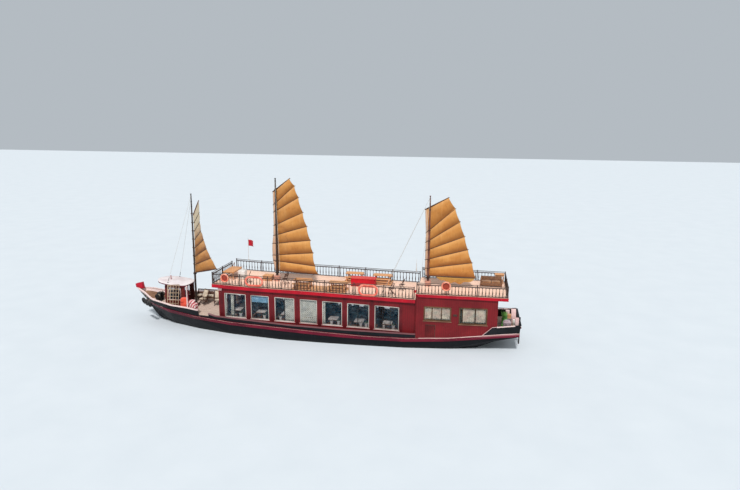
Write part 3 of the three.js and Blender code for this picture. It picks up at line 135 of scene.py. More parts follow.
class Shader:
    """A material being made: its nodes and its surface shader."""

    def __init__(self, name: str, **constants: float) -> None:
        """Starts a material; constants are surface sockets, with _ for a space."""
        self.material = bpy.data.materials.new(name)
        self.material.use_nodes = True
        self.tree = self.material.node_tree
        self.surface = self.tree.nodes["Principled BSDF"]
        for key, value in constants.items():
            self.surface.inputs[key.replace("_", " ")].default_value = value

    def node(self, kind: str, settings: dict | None = None,
             inputs: dict | None = None) -> bpy.types.Node:
        """Adds a node.

        Args:
            kind: Node type without its ShaderNode prefix.
            settings: Properties set first; stops are a ramp's positions and colours.
            inputs: Socket names or numbers with values or links.

        Returns:
            The new node.
        """
        made = self.tree.nodes.new("ShaderNode" + kind)
        for key, value in (settings or {}).items():
            if key == "stops":
                self._stops(made.color_ramp, value)
            else:
                setattr(made, key, value)
        for key, value in (inputs or {}).items():
            self.feed(made.inputs[key], value)
        return made

    @staticmethod
    def _stops(ramp: bpy.types.ColorRamp, stops: Sequence[tuple[float, Colour]]) -> None:
        """Sets a ramp's stops."""
        for i, (place, colour) in enumerate(stops):
            stop = ramp.elements[i] if i < 2 else ramp.elements.new(place)
            stop.position, stop.color = place, colour

    def feed(self, socket: Socket, value: object) -> None:
        """Links a socket to a value, or sets it to a number or a colour code."""
        if isinstance(value, Value):
            value = value.socket
        if isinstance(value, str):
            value = tint(value)
        if isinstance(value, Socket):
            self.tree.links.new(value, socket)
        else:
            socket.default_value = value

    def math(self, operation: str, *terms: "Value | float") -> Value:
        """Math node on the terms."""
        made = self.node("Math", {"operation": operation}, dict(enumerate(terms)))
        return Value(self, made.outputs[0])

    def place(self, scale: Point = (1.0, 1.0, 1.0), move: Point = (0.0, 0.0, 0.0)) -> Socket:
        """Object coordinates, moved and scaled."""
        spot = self.node("TexCoord").outputs["Object"]
        made = self.node("Mapping", {}, {"Vector": spot, "Scale": scale, "Location": move})
        return made.outputs[0]

    def cloth_place(self) -> Socket:
        """The piece's own UV map."""
        return self.node("TexCoord").outputs["UV"]

    def parts(self, vector: Socket) -> tuple[Value, Value, Value]:
        """The three numbers of a vector."""
        made = self.node("SeparateXYZ", {}, {0: vector})
        return tuple(Value(self, made.outputs[i]) for i in range(3))

    def facing(self) -> tuple[Value, Value, Value]:
        """The three numbers of the surface normal."""
        return self.parts(self.node("NewGeometry").outputs["True Normal"])

    def cloud(self, vector: Socket, scale: float, detail: float = 4.0) -> Value:
        """Soft noise from 0 to 1."""
        made = self.node("TexNoise", {}, {"Vector": vector, "Scale": scale, "Detail": detail})
        return Value(self, made.outputs["Fac"])

    def dice(self, value: Value) -> Value:
        """A number from 0 to 1 for each whole value."""
        made = self.node("TexWhiteNoise", {"noise_dimensions": "1D"}, {"W": value})
        return Value(self, made.outputs["Value"])

    def mix(self, factor: "Value | float", low: object, high: object) -> Socket:
        """Colour between two colours or colour codes."""
        made = self.node("Mix", {"data_type": "RGBA"}, {0: factor, 6: low, 7: high})
        return made.outputs[2]

    def coat(self, colour: object, roughness: object, height: "Value | None" = None,
             distance: float = 0.004, strength: float = 0.6) -> Material:
        """Feeds the surface shader.

        Args:
            colour: Base colour or its code.
            roughness: Roughness from 0 to 1.
            height: Bump height from 0 to 1.
            distance: Height of the bump, in metres.
            strength: Share of the bump that is used.

        Returns:
            The finished material.
        """
        self.feed(self.surface.inputs["Base Color"], colour)
        self.feed(self.surface.inputs["Roughness"], roughness)
        if height is not None:
            bump = self.node("Bump", {},
                             {"Height": height, "Distance": distance, "Strength": strength})
            self.feed(self.surface.inputs["Normal"], bump.outputs[0])
        return self.material


@dataclass(frozen=True)
class Boards:
    """Boards laid side by side: the direction across them and their width."""

    across: Point
    width: float

    def lay(self, shader: Shader, spot: Socket) -> tuple[Value, Value]:
        """Seams and a tone for each board.

        Args:
            shader: Material that gets the nodes.
            spot: Coordinates.

        Returns:
            One in the seams, and a number from 0 to 1 for each board.
        """
        x, y, z = shader.parts(spot)
        run = x * self.across[0] + y * self.across[1] + z * self.across[2]
        count = run / self.width
        edge = count.part().least(1 - count.part()) * self.width
        return 1 - edge.rise(0.002, 0.009), shader.dice(count.whole())


WALL = Boards((1.0, 1.0, 0.0), 0.16)
TABLE_BOARDS = Boards((0.0, 1.0, 0.0), 0.11)
LID_BOARDS = Boards((0.0, 1.0, 0.0), 0.117)
STRAKES = Boards((0.0, 0.0, 1.0), 0.19)
PLANKS = Boards((0.0, 1.0, 0.0), 0.14)


# Finishes


MADE: dict[str, Material] = {}


@dataclass(frozen=True)
class Finish:
    """A surface finish, made once and shared."""

    name: str
    slot: str

    def material(self) -> Material:
        """The finish's material."""
        if self.name not in MADE:
            MADE[self.name] = self.make()
        return MADE[self.name]

    def make(self) -> Material:
        """Makes the material."""
        raise NotImplementedError


@dataclass(frozen=True)
class Paint(Finish):
    """Weathered paint over boards or plain timber."""

    colour: str
    shade: str
    bare: str = "9a7a66"
    wear: float = 0.35
    gloss: float = 0.42
    boards: Boards | None = None

    def make(self) -> Material:
        """Paint with faded areas, run-down dirt, chips and board seams."""
        s = Shader(self.name, Specular_IOR_Level=0.22)
        spot = s.place()
        fade = s.cloud(spot, 0.8, 6.0)
        grime = s.cloud(spot, 7.0, 8.0)
        runs = s.cloud(s.place((9.0, 9.0, 0.7)), 1.0, 5.0)
        chips = s.cloud(spot, 16.0, 8.0).rise(0.66, 0.72) * self.wear
        colour = s.mix(fade.rise(0.34, 0.68), self.colour, self.shade)
        colour = s.mix(runs.rise(0.52, 0.75) * 0.35, colour, self.shade)
        height = grime * 0.35 - chips * 0.5
        if self.boards:
            seam, tone = self.boards.lay(s, spot)
            colour = s.mix(tone * 0.30, colour, self.shade)
            colour = s.mix(seam * 0.75, colour, "140b0c")
            height = height - seam + tone * 0.15
        colour = s.mix(chips, colour, self.bare)
        rough = self.gloss + grime * 0.22 + chips * 0.2
        return s.coat(colour, rough, height)


@dataclass(frozen=True)
class Timber(Finish):
    """Oiled or varnished timber with grain along one axis."""

    light: str
    dark: str
    grain: Point = (0.6, 9.0, 9.0)
    gloss: float = 0.38
    boards: Boards | None = None

    def make(self) -> Material:
        """Timber with streaked grain, pores and sun-bleached patches."""
        s = Shader(self.name, Coat_Weight=0.15, Coat_Roughness=0.3)
        grain = s.place(self.grain)
        streak = s.cloud(grain, 3.0, 9.0)
        pores = s.cloud(grain, 16.0, 4.0)
        patch = s.cloud(s.place(), 1.7, 4.0)
        colour = s.mix(streak.rise(0.36, 0.64), self.light, self.dark)
        colour = s.mix(patch.rise(0.45, 0.75) * 0.35, colour, self.light)
        height = streak * 0.6 + pores * 0.4
        if self.boards:
            seam, tone = self.boards.lay(s, s.place())
            colour = s.mix(tone * 0.4, colour, self.dark)
            colour = s.mix(seam * 0.85, colour, "1c120c")
            height = height - seam
        return s.coat(colour, self.gloss + pores * 0.3, height, 0.002)


@dataclass(frozen=True)
class RoundTimber(Finish):
    """Poles and spars, with grain that follows the height."""

    light: str
    dark: str

    def make(self) -> Material:
        """Timber with long streaks, paler patches and dark knots."""
        s = Shader(self.name, Coat_Weight=0.2, Coat_Roughness=0.35)
        spot = s.place((6.0, 6.0, 0.8))
        streak = s.cloud(spot, 3.0, 8.0)
        patch = s.cloud(s.place(), 1.4, 5.0)
        knots = s.cloud(s.place((1.0, 1.0, 0.5)), 5.0, 2.0).rise(0.68, 0.76)
        colour = s.mix(streak.rise(0.35, 0.68), self.light, self.dark)
        colour = s.mix(patch.rise(0.5, 0.8) * 0.4, colour, self.light)
        colour = s.mix(knots * 0.6, colour, "23130c")
        return s.coat(colour, 0.42 + streak * 0.25, streak * 0.7 - knots * 0.3, 0.003)


@dataclass(frozen=True)
class Metal(Finish):
    """Painted, galvanised or bare metal with stains."""

    colour: str
    stain: str
    metallic: float = 0.9
    gloss: float = 0.35
    stains: float = 0.5

    def make(self) -> Material:
        """Metal with mottling, fine scratches and stains."""
        s = Shader(self.name, Metallic=self.metallic)
        spot = s.place()
        mottle = s.cloud(spot, 9.0, 6.0)
        scratch = s.cloud(s.place((2.0, 40.0, 8.0)), 4.0, 5.0)
        stain = s.cloud(spot, 5.0, 9.0).rise(0.55, 0.7) * self.stains
        colour = s.mix(mottle * 0.25, self.colour, "808080")
        colour = s.mix(stain, colour, self.stain)
        rough = self.gloss + mottle * 0.2 + stain * 0.3
        return s.coat(colour, rough, scratch * 0.3 + mottle * 0.5 + stain * 0.3, 0.0015)


@dataclass(frozen=True)
class Moulded(Finish):
    """Rubber or plastic with a fine grain, scuffs and sun fading."""

    colour: str
    faded: str
    gloss: float = 0.5

    def make(self) -> Material:
        """Moulded surface."""
        s = Shader(self.name, Specular_IOR_Level=0.4)
        spot = s.place()
        fade = s.cloud(spot, 2.5, 5.0)
        grain = s.cloud(spot, 60.0, 3.0)
        scuff = s.cloud(s.place((3.0, 12.0, 5.0)), 4.0, 7.0).rise(0.6, 0.74)
        colour = s.mix(fade.rise(0.3, 0.7), self.colour, self.faded)
        colour = s.mix(scuff * 0.4, colour, self.faded)
        return s.coat(colour, self.gloss + grain * 0.25, grain * 0.5 + scuff * 0.5, 0.0015)


@dataclass(frozen=True)
class Weave(Finish):
    """Woven cloth on the piece's object coordinates."""

    colour: str
    shade: str
    threads: float = 260.0
    stripe: str = ""
    spots: str = ""

    def make(self) -> Material:
        """Cloth with crossing threads, soft dirt and, where it has them, stripes or spots."""
        s = Shader(self.name, Sheen_Weight=0.3, Specular_IOR_Level=0.25)
        spot = s.place()
        x, y, z = s.parts(spot)
        warp = s.math("SINE", (x + y) * self.threads)
        weft = s.math("SINE", (z + y * 0.5) * self.threads)
        soft = s.cloud(spot, 3.0, 5.0)
        colour = s.mix(soft.rise(0.3, 0.7), self.colour, self.shade)
        if self.stripe:
            slant = (x * 4.4 + z * 3.1 + soft * 1.2).part()
            colour = s.mix(slant.least(1 - slant).rise(0.2, 0.26), colour, self.stripe)
        if self.spots:
            dots = (s.math("SINE", x * 45.0) * s.math("SINE", z * 38.0)).rise(0.3, 0.6)
            colour = s.mix(dots * 0.9, colour, self.spots)
        colour = s.mix((warp * weft).rise(0.0, 1.0) * 0.12, colour, self.shade)
        return s.coat(colour, 0.78 + soft * 0.15, warp * weft * 0.3 + soft * 0.7, 0.002)


@dataclass(frozen=True)
class Wicker(Finish):
    """Plaited cane."""

    light: str = "a9744c"
    dark: str = "3c2114"

    def make(self) -> Material:
        """Over-and-under cane plait."""
        s = Shader(self.name)
        x, y, z = s.parts(s.place())
        over = s.math("SINE", (x + y) * 140.0)
        under = s.math("SINE", z * 210.0 + (over > 0.0) * math.pi)
        plait = (over * under).rise(-0.6, 0.8)
        age = s.cloud(s.place(), 4.0, 5.0)
        colour = s.mix(plait, self.dark, self.light)
        colour = s.mix(age.rise(0.45, 0.7) * 0.5, colour, self.dark)
        return s.coat(colour, 0.5 + age * 0.2, plait, 0.006, 0.9)


@dataclass(frozen=True)
class Glass(Finish):
    """Window glass with salt film."""

    colour: str = "12303a"
    clear: float = 0.8

    def make(self) -> Material:
        """Glass that lets the room show, cloudier where salt has dried."""
        s = Shader(self.name, IOR=1.5, Specular_IOR_Level=0.35)
        film = s.cloud(s.place((1.0, 1.0, 2.0)), 2.5, 7.0).rise(0.4, 0.75)
        colour = s.mix(film * 0.35, self.colour, "6f8c93")
        alpha = 1 - self.clear + film * 0.12
        s.feed(s.surface.inputs["Alpha"], alpha)
        return s.coat(colour, 0.06 + film * 0.2, film * 0.3, 0.001)


@dataclass(frozen=True)
class Rope(Finish):
    """Laid rope."""

    colour: str = "cfc4ad"
    shade: str = "7d7058"

    def make(self) -> Material:
        """Twisted strands, darker in the grooves between them and in dirty patches."""
        s = Shader(self.name)
        x, y, z = s.parts(s.place())
        lay = s.math("SINE", (x + y * 1.3 + z * 1.7) * 190.0).rise(-0.8, 0.8)
        dirt = s.cloud(s.place(), 12.0, 5.0)
        colour = s.mix(lay * 0.6 + dirt * 0.4, self.shade, self.colour)
        return s.coat(colour, 0.85, lay, 0.004)


@dataclass(frozen=True)
class Sailcloth(Finish):
    """Tanned sailcloth, patterned on its UV map: chord, then panels upward.

    Above a given share of its panels the cloth is painted paler: painted light, mixed with sun
    fading.
    """

    light: str = "cb8c48"
    dark: str = "8c511c"
    faded_and_lit_head: float = 1.0
    panels: int = 7
    luff: float = 0.0

    def make(self) -> Material:
        """Tan cloth with sewn seams, painted shade above each batten, a painted highlight under
        each batten and a paler head, partly painted light.
        """
        s = Shader(self.name, Sheen_Weight=0.25, Specular_IOR_Level=0.2)
        chord, rise, _ = s.parts(s.cloth_place())
        spot = s.place()
        fade = s.cloud(spot, 0.9, 6.0)
        blotch = s.cloud(spot, 4.0, 7.0)
        runs = s.cloud(s.place((7.0, 7.0, 0.6)), 1.0, 5.0)
        colour = s.mix(fade.rise(0.3, 0.7), self.light, "be7c3a")
        colour = s.mix(blotch.rise(0.5, 0.8) * 0.35, colour, self.dark)
        strip = (chord * 5.0).part()
        seam = 1 - strip.least(1 - strip).rise(0.0, 0.02)
        # Painted light on the billowing panels: painted shade at the foot of each panel, just above
        # its batten, and a painted highlight at its head, under the next batten, mixed with weather
        # runs.
        low = 1 - rise.part().rise(0.0, 0.55)
        high = rise.part().rise(0.6, 0.97)
        colour = s.mix(high * 0.45 + runs.rise(0.5, 0.8) * 0.25, colour, "dda76a")
        colour = s.mix(low * 0.75, colour, self.dark)
        colour = s.mix(seam * 0.4, colour, self.dark)
        x, y, z = s.parts(spot)
        threads = s.math("SINE", (x + y) * 420.0) * s.math("SINE", z * 420.0)
        height = blotch * 0.7 + seam * 0.6 + threads * 0.08
        if self.luff:
            colour = s.mix((chord < self.luff) * 0.6, colour, "dcbba6")
        # Paler head: painted light on upper cloth that the key light barely reaches, mixed with sun
        # fading.
        if self.faded_and_lit_head < 1.0:
            head = (rise / self.panels + fade * 0.3).rise(self.faded_and_lit_head, self.faded_and_lit_head + 0.4)
            colour = s.mix(head * 0.85, colour, "f0e2c0")
        return s.coat(colour, 0.8 + blotch * 0.12, height, 0.006, 0.7)


@dataclass(frozen=True)
class DeckPlanks:
    """Scrubbed or painted deck planks with dark seams, part of the coats below."""

    light: str
    dark: str
    length: float = 2.6

    def colour(self, s: Shader) -> tuple[Socket, Value, Value]:
        """Colour, roughness and height of the planks.

        Args:
            s: Material that gets the nodes.

        Returns:
            The colour, the roughness and the height.
        """
        spot = s.place()
        seam, tone = PLANKS.lay(s, spot)
        x, _, _ = s.parts(spot)
        joint = (x / self.length + tone * 3.0).part()
        butt = 1 - (joint.least(1 - joint) * self.length).rise(0.002, 0.008)
        grain = s.cloud(s.place((0.8, 12.0, 12.0)), 2.0, 8.0)
        wear = s.cloud(spot, 1.1, 6.0)
        colour = s.mix(grain.rise(0.3, 0.7), self.light, self.dark)
        colour = s.mix(tone * 0.3, colour, self.dark)
        colour = s.mix(wear.rise(0.5, 0.8) * 0.35, colour, self.dark)
        colour = s.mix((seam + butt).least(1.0) * 0.7, colour, "3a2c28")
        return colour, 0.6 + grain * 0.25, grain * 0.4 - seam


@dataclass(frozen=True)
class Line:
    """A value along the boat, straight between its stations."""

    rows: Pairs

    def at(self, x: float) -> float:
        """Value at x."""
        for (x0, a), (x1, b) in zip(self.rows, self.rows[1:]):
            if x <= x1:
                break
        return a + (b - a) * min(max((x - x0) / (x1 - x0), 0.0), 1.0)

    def shade(self, shader: Shader, x: Value, reach: float = 16.0, top: float = 4.0) -> Value:
        """The same line in a material, read from a ramp over -reach..reach."""
        stops = [((a + reach) / (2 * reach), (b / top,) * 3 + (1.0,)) for a, b in self.rows]
        made = shader.node("ValToRGB", {"stops": stops}, {0: (x + reach) / (2 * reach)})
        return Value(shader, made.outputs[0]) * top


def sloped(base: float, slope: float = 0.0) -> Line:
    """Line through base amidships with an even slope, level unless it is given one."""
    return Line(((-20.0, base - 20.0 * slope), (20.0, base + 20.0 * slope)))


@dataclass(frozen=True)
class BoatLines:
    """Lines of the hull and decks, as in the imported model."""

    deck_z: Line = Line(((-14.95, 1.46), (-13.3, 1.3), (-12.0, 1.15), (-10.0, 0.93), (-7.0, 0.77),
                         (-4.0, 0.77), (-1.0, 0.86), (2.0, 0.975), (6.0, 1.085), (9.0, 1.235),
                         (11.5, 1.43), (13.0, 1.54), (14.23, 1.6)))
    deck_y: Line = Line(((-14.95, 1.95), (-13.3, 2.11), (-12.0, 2.24), (-10.0, 2.4), (-7.0, 2.58),
                         (-4.0, 2.68), (-1.0, 2.74), (2.0, 2.74), (6.0, 2.6), (9.0, 2.27),
                         (11.5, 1.68), (13.0, 0.96), (14.23, 0.06)))
    cap_z: Line = Line(((-14.95, 2.06), (-13.06, 1.83), (-7.76, 1.13), (-2.8, 1.17), (1.3, 1.23),
                        (4.8, 1.39), (7.18, 1.47), (7.71, 1.62), (8.6, 1.78), (9.57, 1.88),
                        (11.0, 1.9), (11.67, 1.96), (12.55, 2.01), (13.1, 2.08), (13.62, 2.25),
                        (14.07, 2.43), (14.98, 2.56)))
    cap_y: Line = Line(((-14.95, 2.03), (-13.06, 2.18), (-7.76, 2.58), (-2.8, 2.77), (1.3, 2.79),
                        (4.8, 2.72), (7.18, 2.6), (7.71, 2.55), (8.6, 2.45), (9.57, 2.32),
                        (11.0, 2.04), (11.67, 1.82), (12.55, 1.48), (13.1, 1.24), (13.62, 0.92),
                        (14.07, 0.64), (14.98, 0.1)))
    roof_z: Line = Line(((-7.7, 3.555), (0.0, 3.7), (4.5, 3.745), (7.45, 3.85)))
    stern_foot: Line = Line(((-13.3, 2.095), (-12.0, 2.225), (-10.0, 2.385), (-7.0, 2.565)))
    stern_z: float = 3.98
    wall_z: float = 3.88
    wale: float = 0.29


LINES = BoatLines()


def deck_at(x: float) -> float:
    """Height of the main deck at a station."""
    return LINES.deck_z.at(x)


def roof_at(x: float) -> float:
    """Height of the saloon's roof at a station."""
    return LINES.roof_z.at(x)


@dataclass(frozen=True)
class HullCoat(Finish):
    """Black hull with a crimson wale under the sheer and planked decks."""

    def make(self) -> Material:
        """Black strakes, a wale band that follows the sheer, and a beige deck on top."""
        s = Shader(self.name, Specular_IOR_Level=0.16)
        spot = s.place()
        x, _, z = s.parts(spot)
        _, _, up = s.facing()
        deck, deck_rough, deck_height = DeckPlanks("dcc4b3", "bda594").colour(s)
        seam, tone = STRAKES.lay(s, spot)
        fade = s.cloud(spot, 0.7, 7.0)
        runs = s.cloud(s.place((6.0, 6.0, 0.5)), 1.2, 6.0)
        grime = s.cloud(spot, 8.0, 8.0)
        chips = s.cloud(spot, 13.0, 8.0).rise(0.67, 0.73)
        black = s.mix(fade.rise(0.35, 0.7), "0a0c12", "14151a")
        black = s.mix(tone * 0.25, black, "1c1d21")
        black = s.mix(runs.rise(0.55, 0.8) * 0.4, black, "2e2b2c")
        black = s.mix(seam * 0.7, black, "060506")
        wet = 1 - z.rise(0.05, 0.35)
        black = s.mix(wet * grime.rise(0.35, 0.6) * 0.3, black, "2c2d25")
        below = 1 - z.rise(-0.03, 0.02)
        black = s.mix(below * 0.85, black, "4a1512")
        crimson = s.mix(fade.rise(0.35, 0.65), "7b1a30", "5e1226")
        crimson = s.mix(chips * 0.5, crimson, "b97b82")
        sheer = LINES.deck_z.shade(s, x)
        depth = sheer - z
        band = (depth < LINES.wale + 0.005) * (depth > -0.01)
        paler = (1 - x.rise(-13.0, -11.5)) * (depth < 0.12)
        side = s.mix(band, black, crimson)
        side = s.mix((band * chips.least(1.0) * 0.5 + paler * 0.6).least(1.0), side, "c8878c")
        on_deck = up.rise(0.6, 0.8)
        colour = s.mix(on_deck, side, deck)
        rough = (0.36 + grime * 0.3) * (1 - on_deck) + deck_rough * on_deck
        height = (grime * 0.4 - seam * 0.6 - chips * 0.2) * (1 - on_deck) + deck_height * on_deck
        return s.coat(colour, rough, height, 0.005)


@dataclass(frozen=True)
class BulwarkCoat(Finish):
    """Bulwark: black outside, boarded inside and dark at the stern, with a pale cap rail."""

    cap: str = "744d4f"
    bow_cap: str = "ecd3cc"
    inside: str = "a07a60"

    def make(self) -> Material:
        """Cap, outer and inner faces, told apart by height and facing."""
        s = Shader(self.name, Specular_IOR_Level=0.2)
        spot = s.place()
        x, y, z = s.parts(spot)
        _, side, _ = s.facing()
        seam, tone = STRAKES.lay(s, spot)
        fade = s.cloud(spot, 1.0, 7.0)
        grime = s.cloud(spot, 9.0, 8.0)
        runs = s.cloud(s.place((7.0, 7.0, 0.6)), 1.2, 6.0)
        chips = s.cloud(s.place((1.0, 4.0, 4.0)), 7.0, 8.0).rise(0.56, 0.66)
        black = s.mix(fade.rise(0.35, 0.7), "0e1216", "191b1f")
        black = s.mix(runs.rise(0.55, 0.8) * 0.4, black, "302c2c")
        inner = s.mix(tone * 0.6, self.inside, "5b3524")
        inner = s.mix(fade.rise(0.4, 0.7) * 0.5, inner, "b08a6a")
        aft = 1 - x.rise(-13.3, -12.9)
        inner = s.mix(aft, inner, "1d1816")
        cap = s.mix((x.rise(7.0, 9.5) + aft).least(1.0), self.cap, self.bow_cap)
        cap = s.mix(chips * 0.6, cap, "8c4048")
        outer = (y * side) > -0.01
        colour = s.mix(outer, inner, black)
        colour = s.mix(seam * 0.7, colour, "0a0708")
        line = LINES.cap_z.shade(s, x)
        on_cap = ((line - z) < 0.066 - 0.036 * aft + 0.2 * x.rise(12.2, 13.6)) * (x > -14.6)
        colour = s.mix(on_cap, colour, cap)
        height = grime * 0.5 - seam * 0.6 * (1 - on_cap) - chips * 0.3
        return s.coat(colour, 0.45 + grime * 0.3, height, 0.004)


@dataclass(frozen=True)
class RoofCoat(Finish):
    """Roof of a cabin: deck on top, red band round its edge, white under it."""

    top: str = "fbd8c0"
    seams: str = "edc2aa"
    band: str = "bb1024"
    band_shade: str = "9a0f22"

    def make(self) -> Material:
        """Deck, band and ceiling, told apart by the way the face looks."""
        s = Shader(self.name, Specular_IOR_Level=0.22)
        spot = s.place()
        _, _, up = s.facing()
        deck, deck_rough, deck_height = DeckPlanks(self.top, self.seams).colour(s)
        fade = s.cloud(spot, 0.9, 6.0)
        runs = s.cloud(s.place((8.0, 8.0, 0.8)), 1.3, 6.0)
        grime = s.cloud(spot, 8.0, 8.0)
        chips = s.cloud(spot, 15.0, 8.0).rise(0.68, 0.74)
        red = s.mix(fade.rise(0.35, 0.68), self.band, self.band_shade)
        red = s.mix(runs.rise(0.55, 0.78) * 0.4, red, self.band_shade)
        red = s.mix(chips * 0.5, red, "e6b1ac")
        under = s.mix(fade.rise(0.4, 0.7) * 0.5, "d8cfc4", "a79a8e")
        colour = s.mix(1 - up.rise(-0.8, -0.6), red, under)
        on_top = up.rise(0.6, 0.8)
        colour = s.mix(on_top, colour, deck)
        rough = (0.35 + grime * 0.25) * (1 - on_top) + deck_rough * on_top
        height = grime * 0.35 * (1 - on_top) + deck_height * on_top
        return s.coat(colour, rough, height, 0.003)


HULL = HullCoat("hull_black", "hull")
BULWARK = BulwarkCoat("bulwark_black", "bulwark")
ROOF = RoofCoat("roof_planking", "roof_deck")
MAROON = Paint("maroon_boards", "walls", "7c1b20", "68141a", boards=WALL)
WHEEL_WALL = Paint("wheelhouse_boards", "walls", "6e2a22", "43160f", boards=WALL)
RED_TRIM = Paint("trim_red", "red_trim", "b8152c", "850d20")
WHITE = Paint("white_gloss", "white_paint", "e6ddd6", "bcaea6", "8d8079", 0.3)
FRAME_WHITE = Paint("window_frame_white", "white_paint", "c9c4ba", "9a948a", "5a5048", 0.5)
LATTICE = Paint("lattice_paint", "white_paint", "cbb498", "947b62", "4a3628", 0.6)
LOCKER = Paint("locker_grey", "white_paint", "8f8080", "6d5e60", "4a3a38", 0.6)
WALE_RED = Paint("wale_crimson", "red_trim", "7b1a30", "5e1226", "b97b82", 0.5)
BRIGHT_RED = Paint("chest_red", "red_trim", "cf1a2b", "a81422", "e0948c", 0.25)
PINK_WHITE = Paint("pink_white_paint", "white_paint", "e4c4bf", "c79a96", "97464c", 0.5)
OLIVE = Paint("olive_frames", "white_paint", "6f5239", "4a3320", "33241a", 0.3)
SILL_BROWN = Paint("sill_brown", "white_paint", "a07a62", "7c5a46", "33241a", 0.4)
BLACK_PAINT = Paint("black_paint", "hull", "101216", "1c1c20", "5a5049", 0.3, 0.5)
DOOR = Paint("door_paint", "doors", "701a1c", "4a0f12", "8a6a52", 0.4, boards=WALL)
RAIL_DARK = Timber("rail_timber", "rails", "3f251b", "1e110c")
DARK_WOOD = Timber("dark_timber", "varnished_wood", "5a3423", "2a160f")
TABLE_WOOD = Timber("tan_boards", "tan_wood", "e8ad78", "ce8d58", gloss=0.5, boards=TABLE_BOARDS)
TAN_WOOD = Timber("tan_timber", "tan_wood", "d9a577", "b67f55", gloss=0.5)
SALMON_WOOD = Timber("salmon_timber", "tan_wood", "d39883", "b0745f", gloss=0.5)
CABIN_WOOD = Timber("cabin_timber", "varnished_wood", "8b5a38", "57341f")
MAST_WOOD = RoundTimber("mast_timber", "masts", "38241a", "19100c")
MIZZEN_WOOD = RoundTimber("mizzen_timber", "masts", "7a4434", "452219")
BAMBOO = RoundTimber("batten_bamboo", "masts", "5c3317", "33190a")
SAIL = Sailcloth("tan_sailcloth", "sailcloth", luff=0.08)
# The fore sail's head is painted paler: painted light, mixed with sun fading.
FORE_CLOTH = Sailcloth("fore_sailcloth", "sailcloth", "d9994f", "8c511c", faded_and_lit_head=0.58)
FOOT_CLOTH = Sailcloth("foot_sailcloth", "sailcloth", "dcb469", "a57a3a")
IRON = Metal("black_iron", "ironwork", "1d1c1d", "3a2a22", 0.6, 0.5)
STEEL = Metal("white_steel", "white_paint", "d9d6d0", "9a6a4c", 0.1, 0.4, 0.35)
BRONZE = Metal("propeller_bronze", "bronze", "a9803f", "4f6a4c", 1.0, 0.3)
ENGINE = Metal("engine_green", "engine", "4f6b5a", "2c241f", 0.3, 0.45, 0.6)
RUDDER = Paint("rudder_black", "rudder", "221b1d", "3a2c2a", "6b5a4a", 0.5, 0.5, STRAKES)
RUBBER = Moulded("tyre_rubber", "ironwork", "191819", "3a3837", 0.7)
GLASS = Glass("window_glass", "white_paint", "1c3e50", 0.87)
CLEAR_GLASS = Glass("cabin_glass", "white_paint", "5c6a63", 0.9)
ROPE = Rope("laid_rope", "sailcloth")
DARK_ROPE = Rope("dark_rope", "sailcloth", "5a3b24", "2a1a10")
STAY = Rope("stay_rope", "sailcloth", "d8d4cb", "9b968c")
ROOF_WHITE = Paint("roof_shell_white", "white_paint", "eee6e4", "d3c3c2", "a99a98", 0.25, 0.35)
MAROON_POST = Paint("maroon_pilasters", "walls", "6c191f", "4c1016")
DOOR_PANEL = Paint("door_panels", "doors", "7d2422", "561516", "8a6a52", 0.4)
# The chest's top is a paler, pinker red than its sides: a painted highlight on the sunlit top.
RED_TOP_HIGHLIT = Paint("chest_top_red_highlit", "red_trim", "e0584f", "c43a38", "f0b0a0", 0.4, boards=LID_BOARDS)
RING_PLASTIC = Moulded("life_ring_plastic", "red_trim", "e87a5a", "eda488", 0.4)
FLOAT_PLASTIC = Moulded("salmon_float_plastic", "red_trim", "e2614c", "ea8c76", 0.45)
FLOAT_BAND = Moulded("float_bands", "red_trim", "cf4f3d", "dd7a66", 0.5)
TANK = Moulded("white_tank_plastic", "white_paint", "e4e0da", "cbc3ba", 0.45)
GREEN = Moulded("green_plastic", "white_paint", "4fae45", "7fcb6c", 0.45)
BACKING = Weave("dark_red_canvas", "sailcloth", "a3402c", "7c281c")
CURTAIN = Weave("grey_curtain", "sailcloth", "efebdf", "d9d4c5", spots="6f6a55")
BLIND = Weave("sky_blue_blind", "sailcloth", "a9cfe4", "7ba9c4")
CREAM_CURTAIN = Weave("cream_curtain", "sailcloth", "dccdb6", "c8aa9a")
CREAM_CLOTH = Weave("cream_cushion_cloth", "sailcloth", "ddcdb8", "b9a48b")
TAN_CLOTH = Weave("tan_cushion_cloth", "sailcloth", "a97a52", "7f5638")
CORAL_CLOTH = Weave("coral_cloth", "sailcloth", "e5573c", "c23c2a")
HEAP_CLOTH = Weave("mauve_canvas", "sailcloth", "b7a3a8", "8b777d")
STRIPED_CLOTH = Weave("pink_striped_cloth", "sailcloth", "f0dcd6", "dcbab3", stripe="b4424c")
FLAG = Weave("red_flag_cloth", "sailcloth", "c4182a", "960f20")
LEAF = Weave("leaf_green", "sailcloth", "57973f", "86bb58", 90.0)
# A darker copy of the leaf green for the plants inside the saloon: painted shade.
SHADED_LEAF = Weave("shaded_leaf_green", "sailcloth", "2f4a34", "4f6f4a", 90.0)
WICKER = Wicker("brown_wicker", "wicker")


# Modelling kit


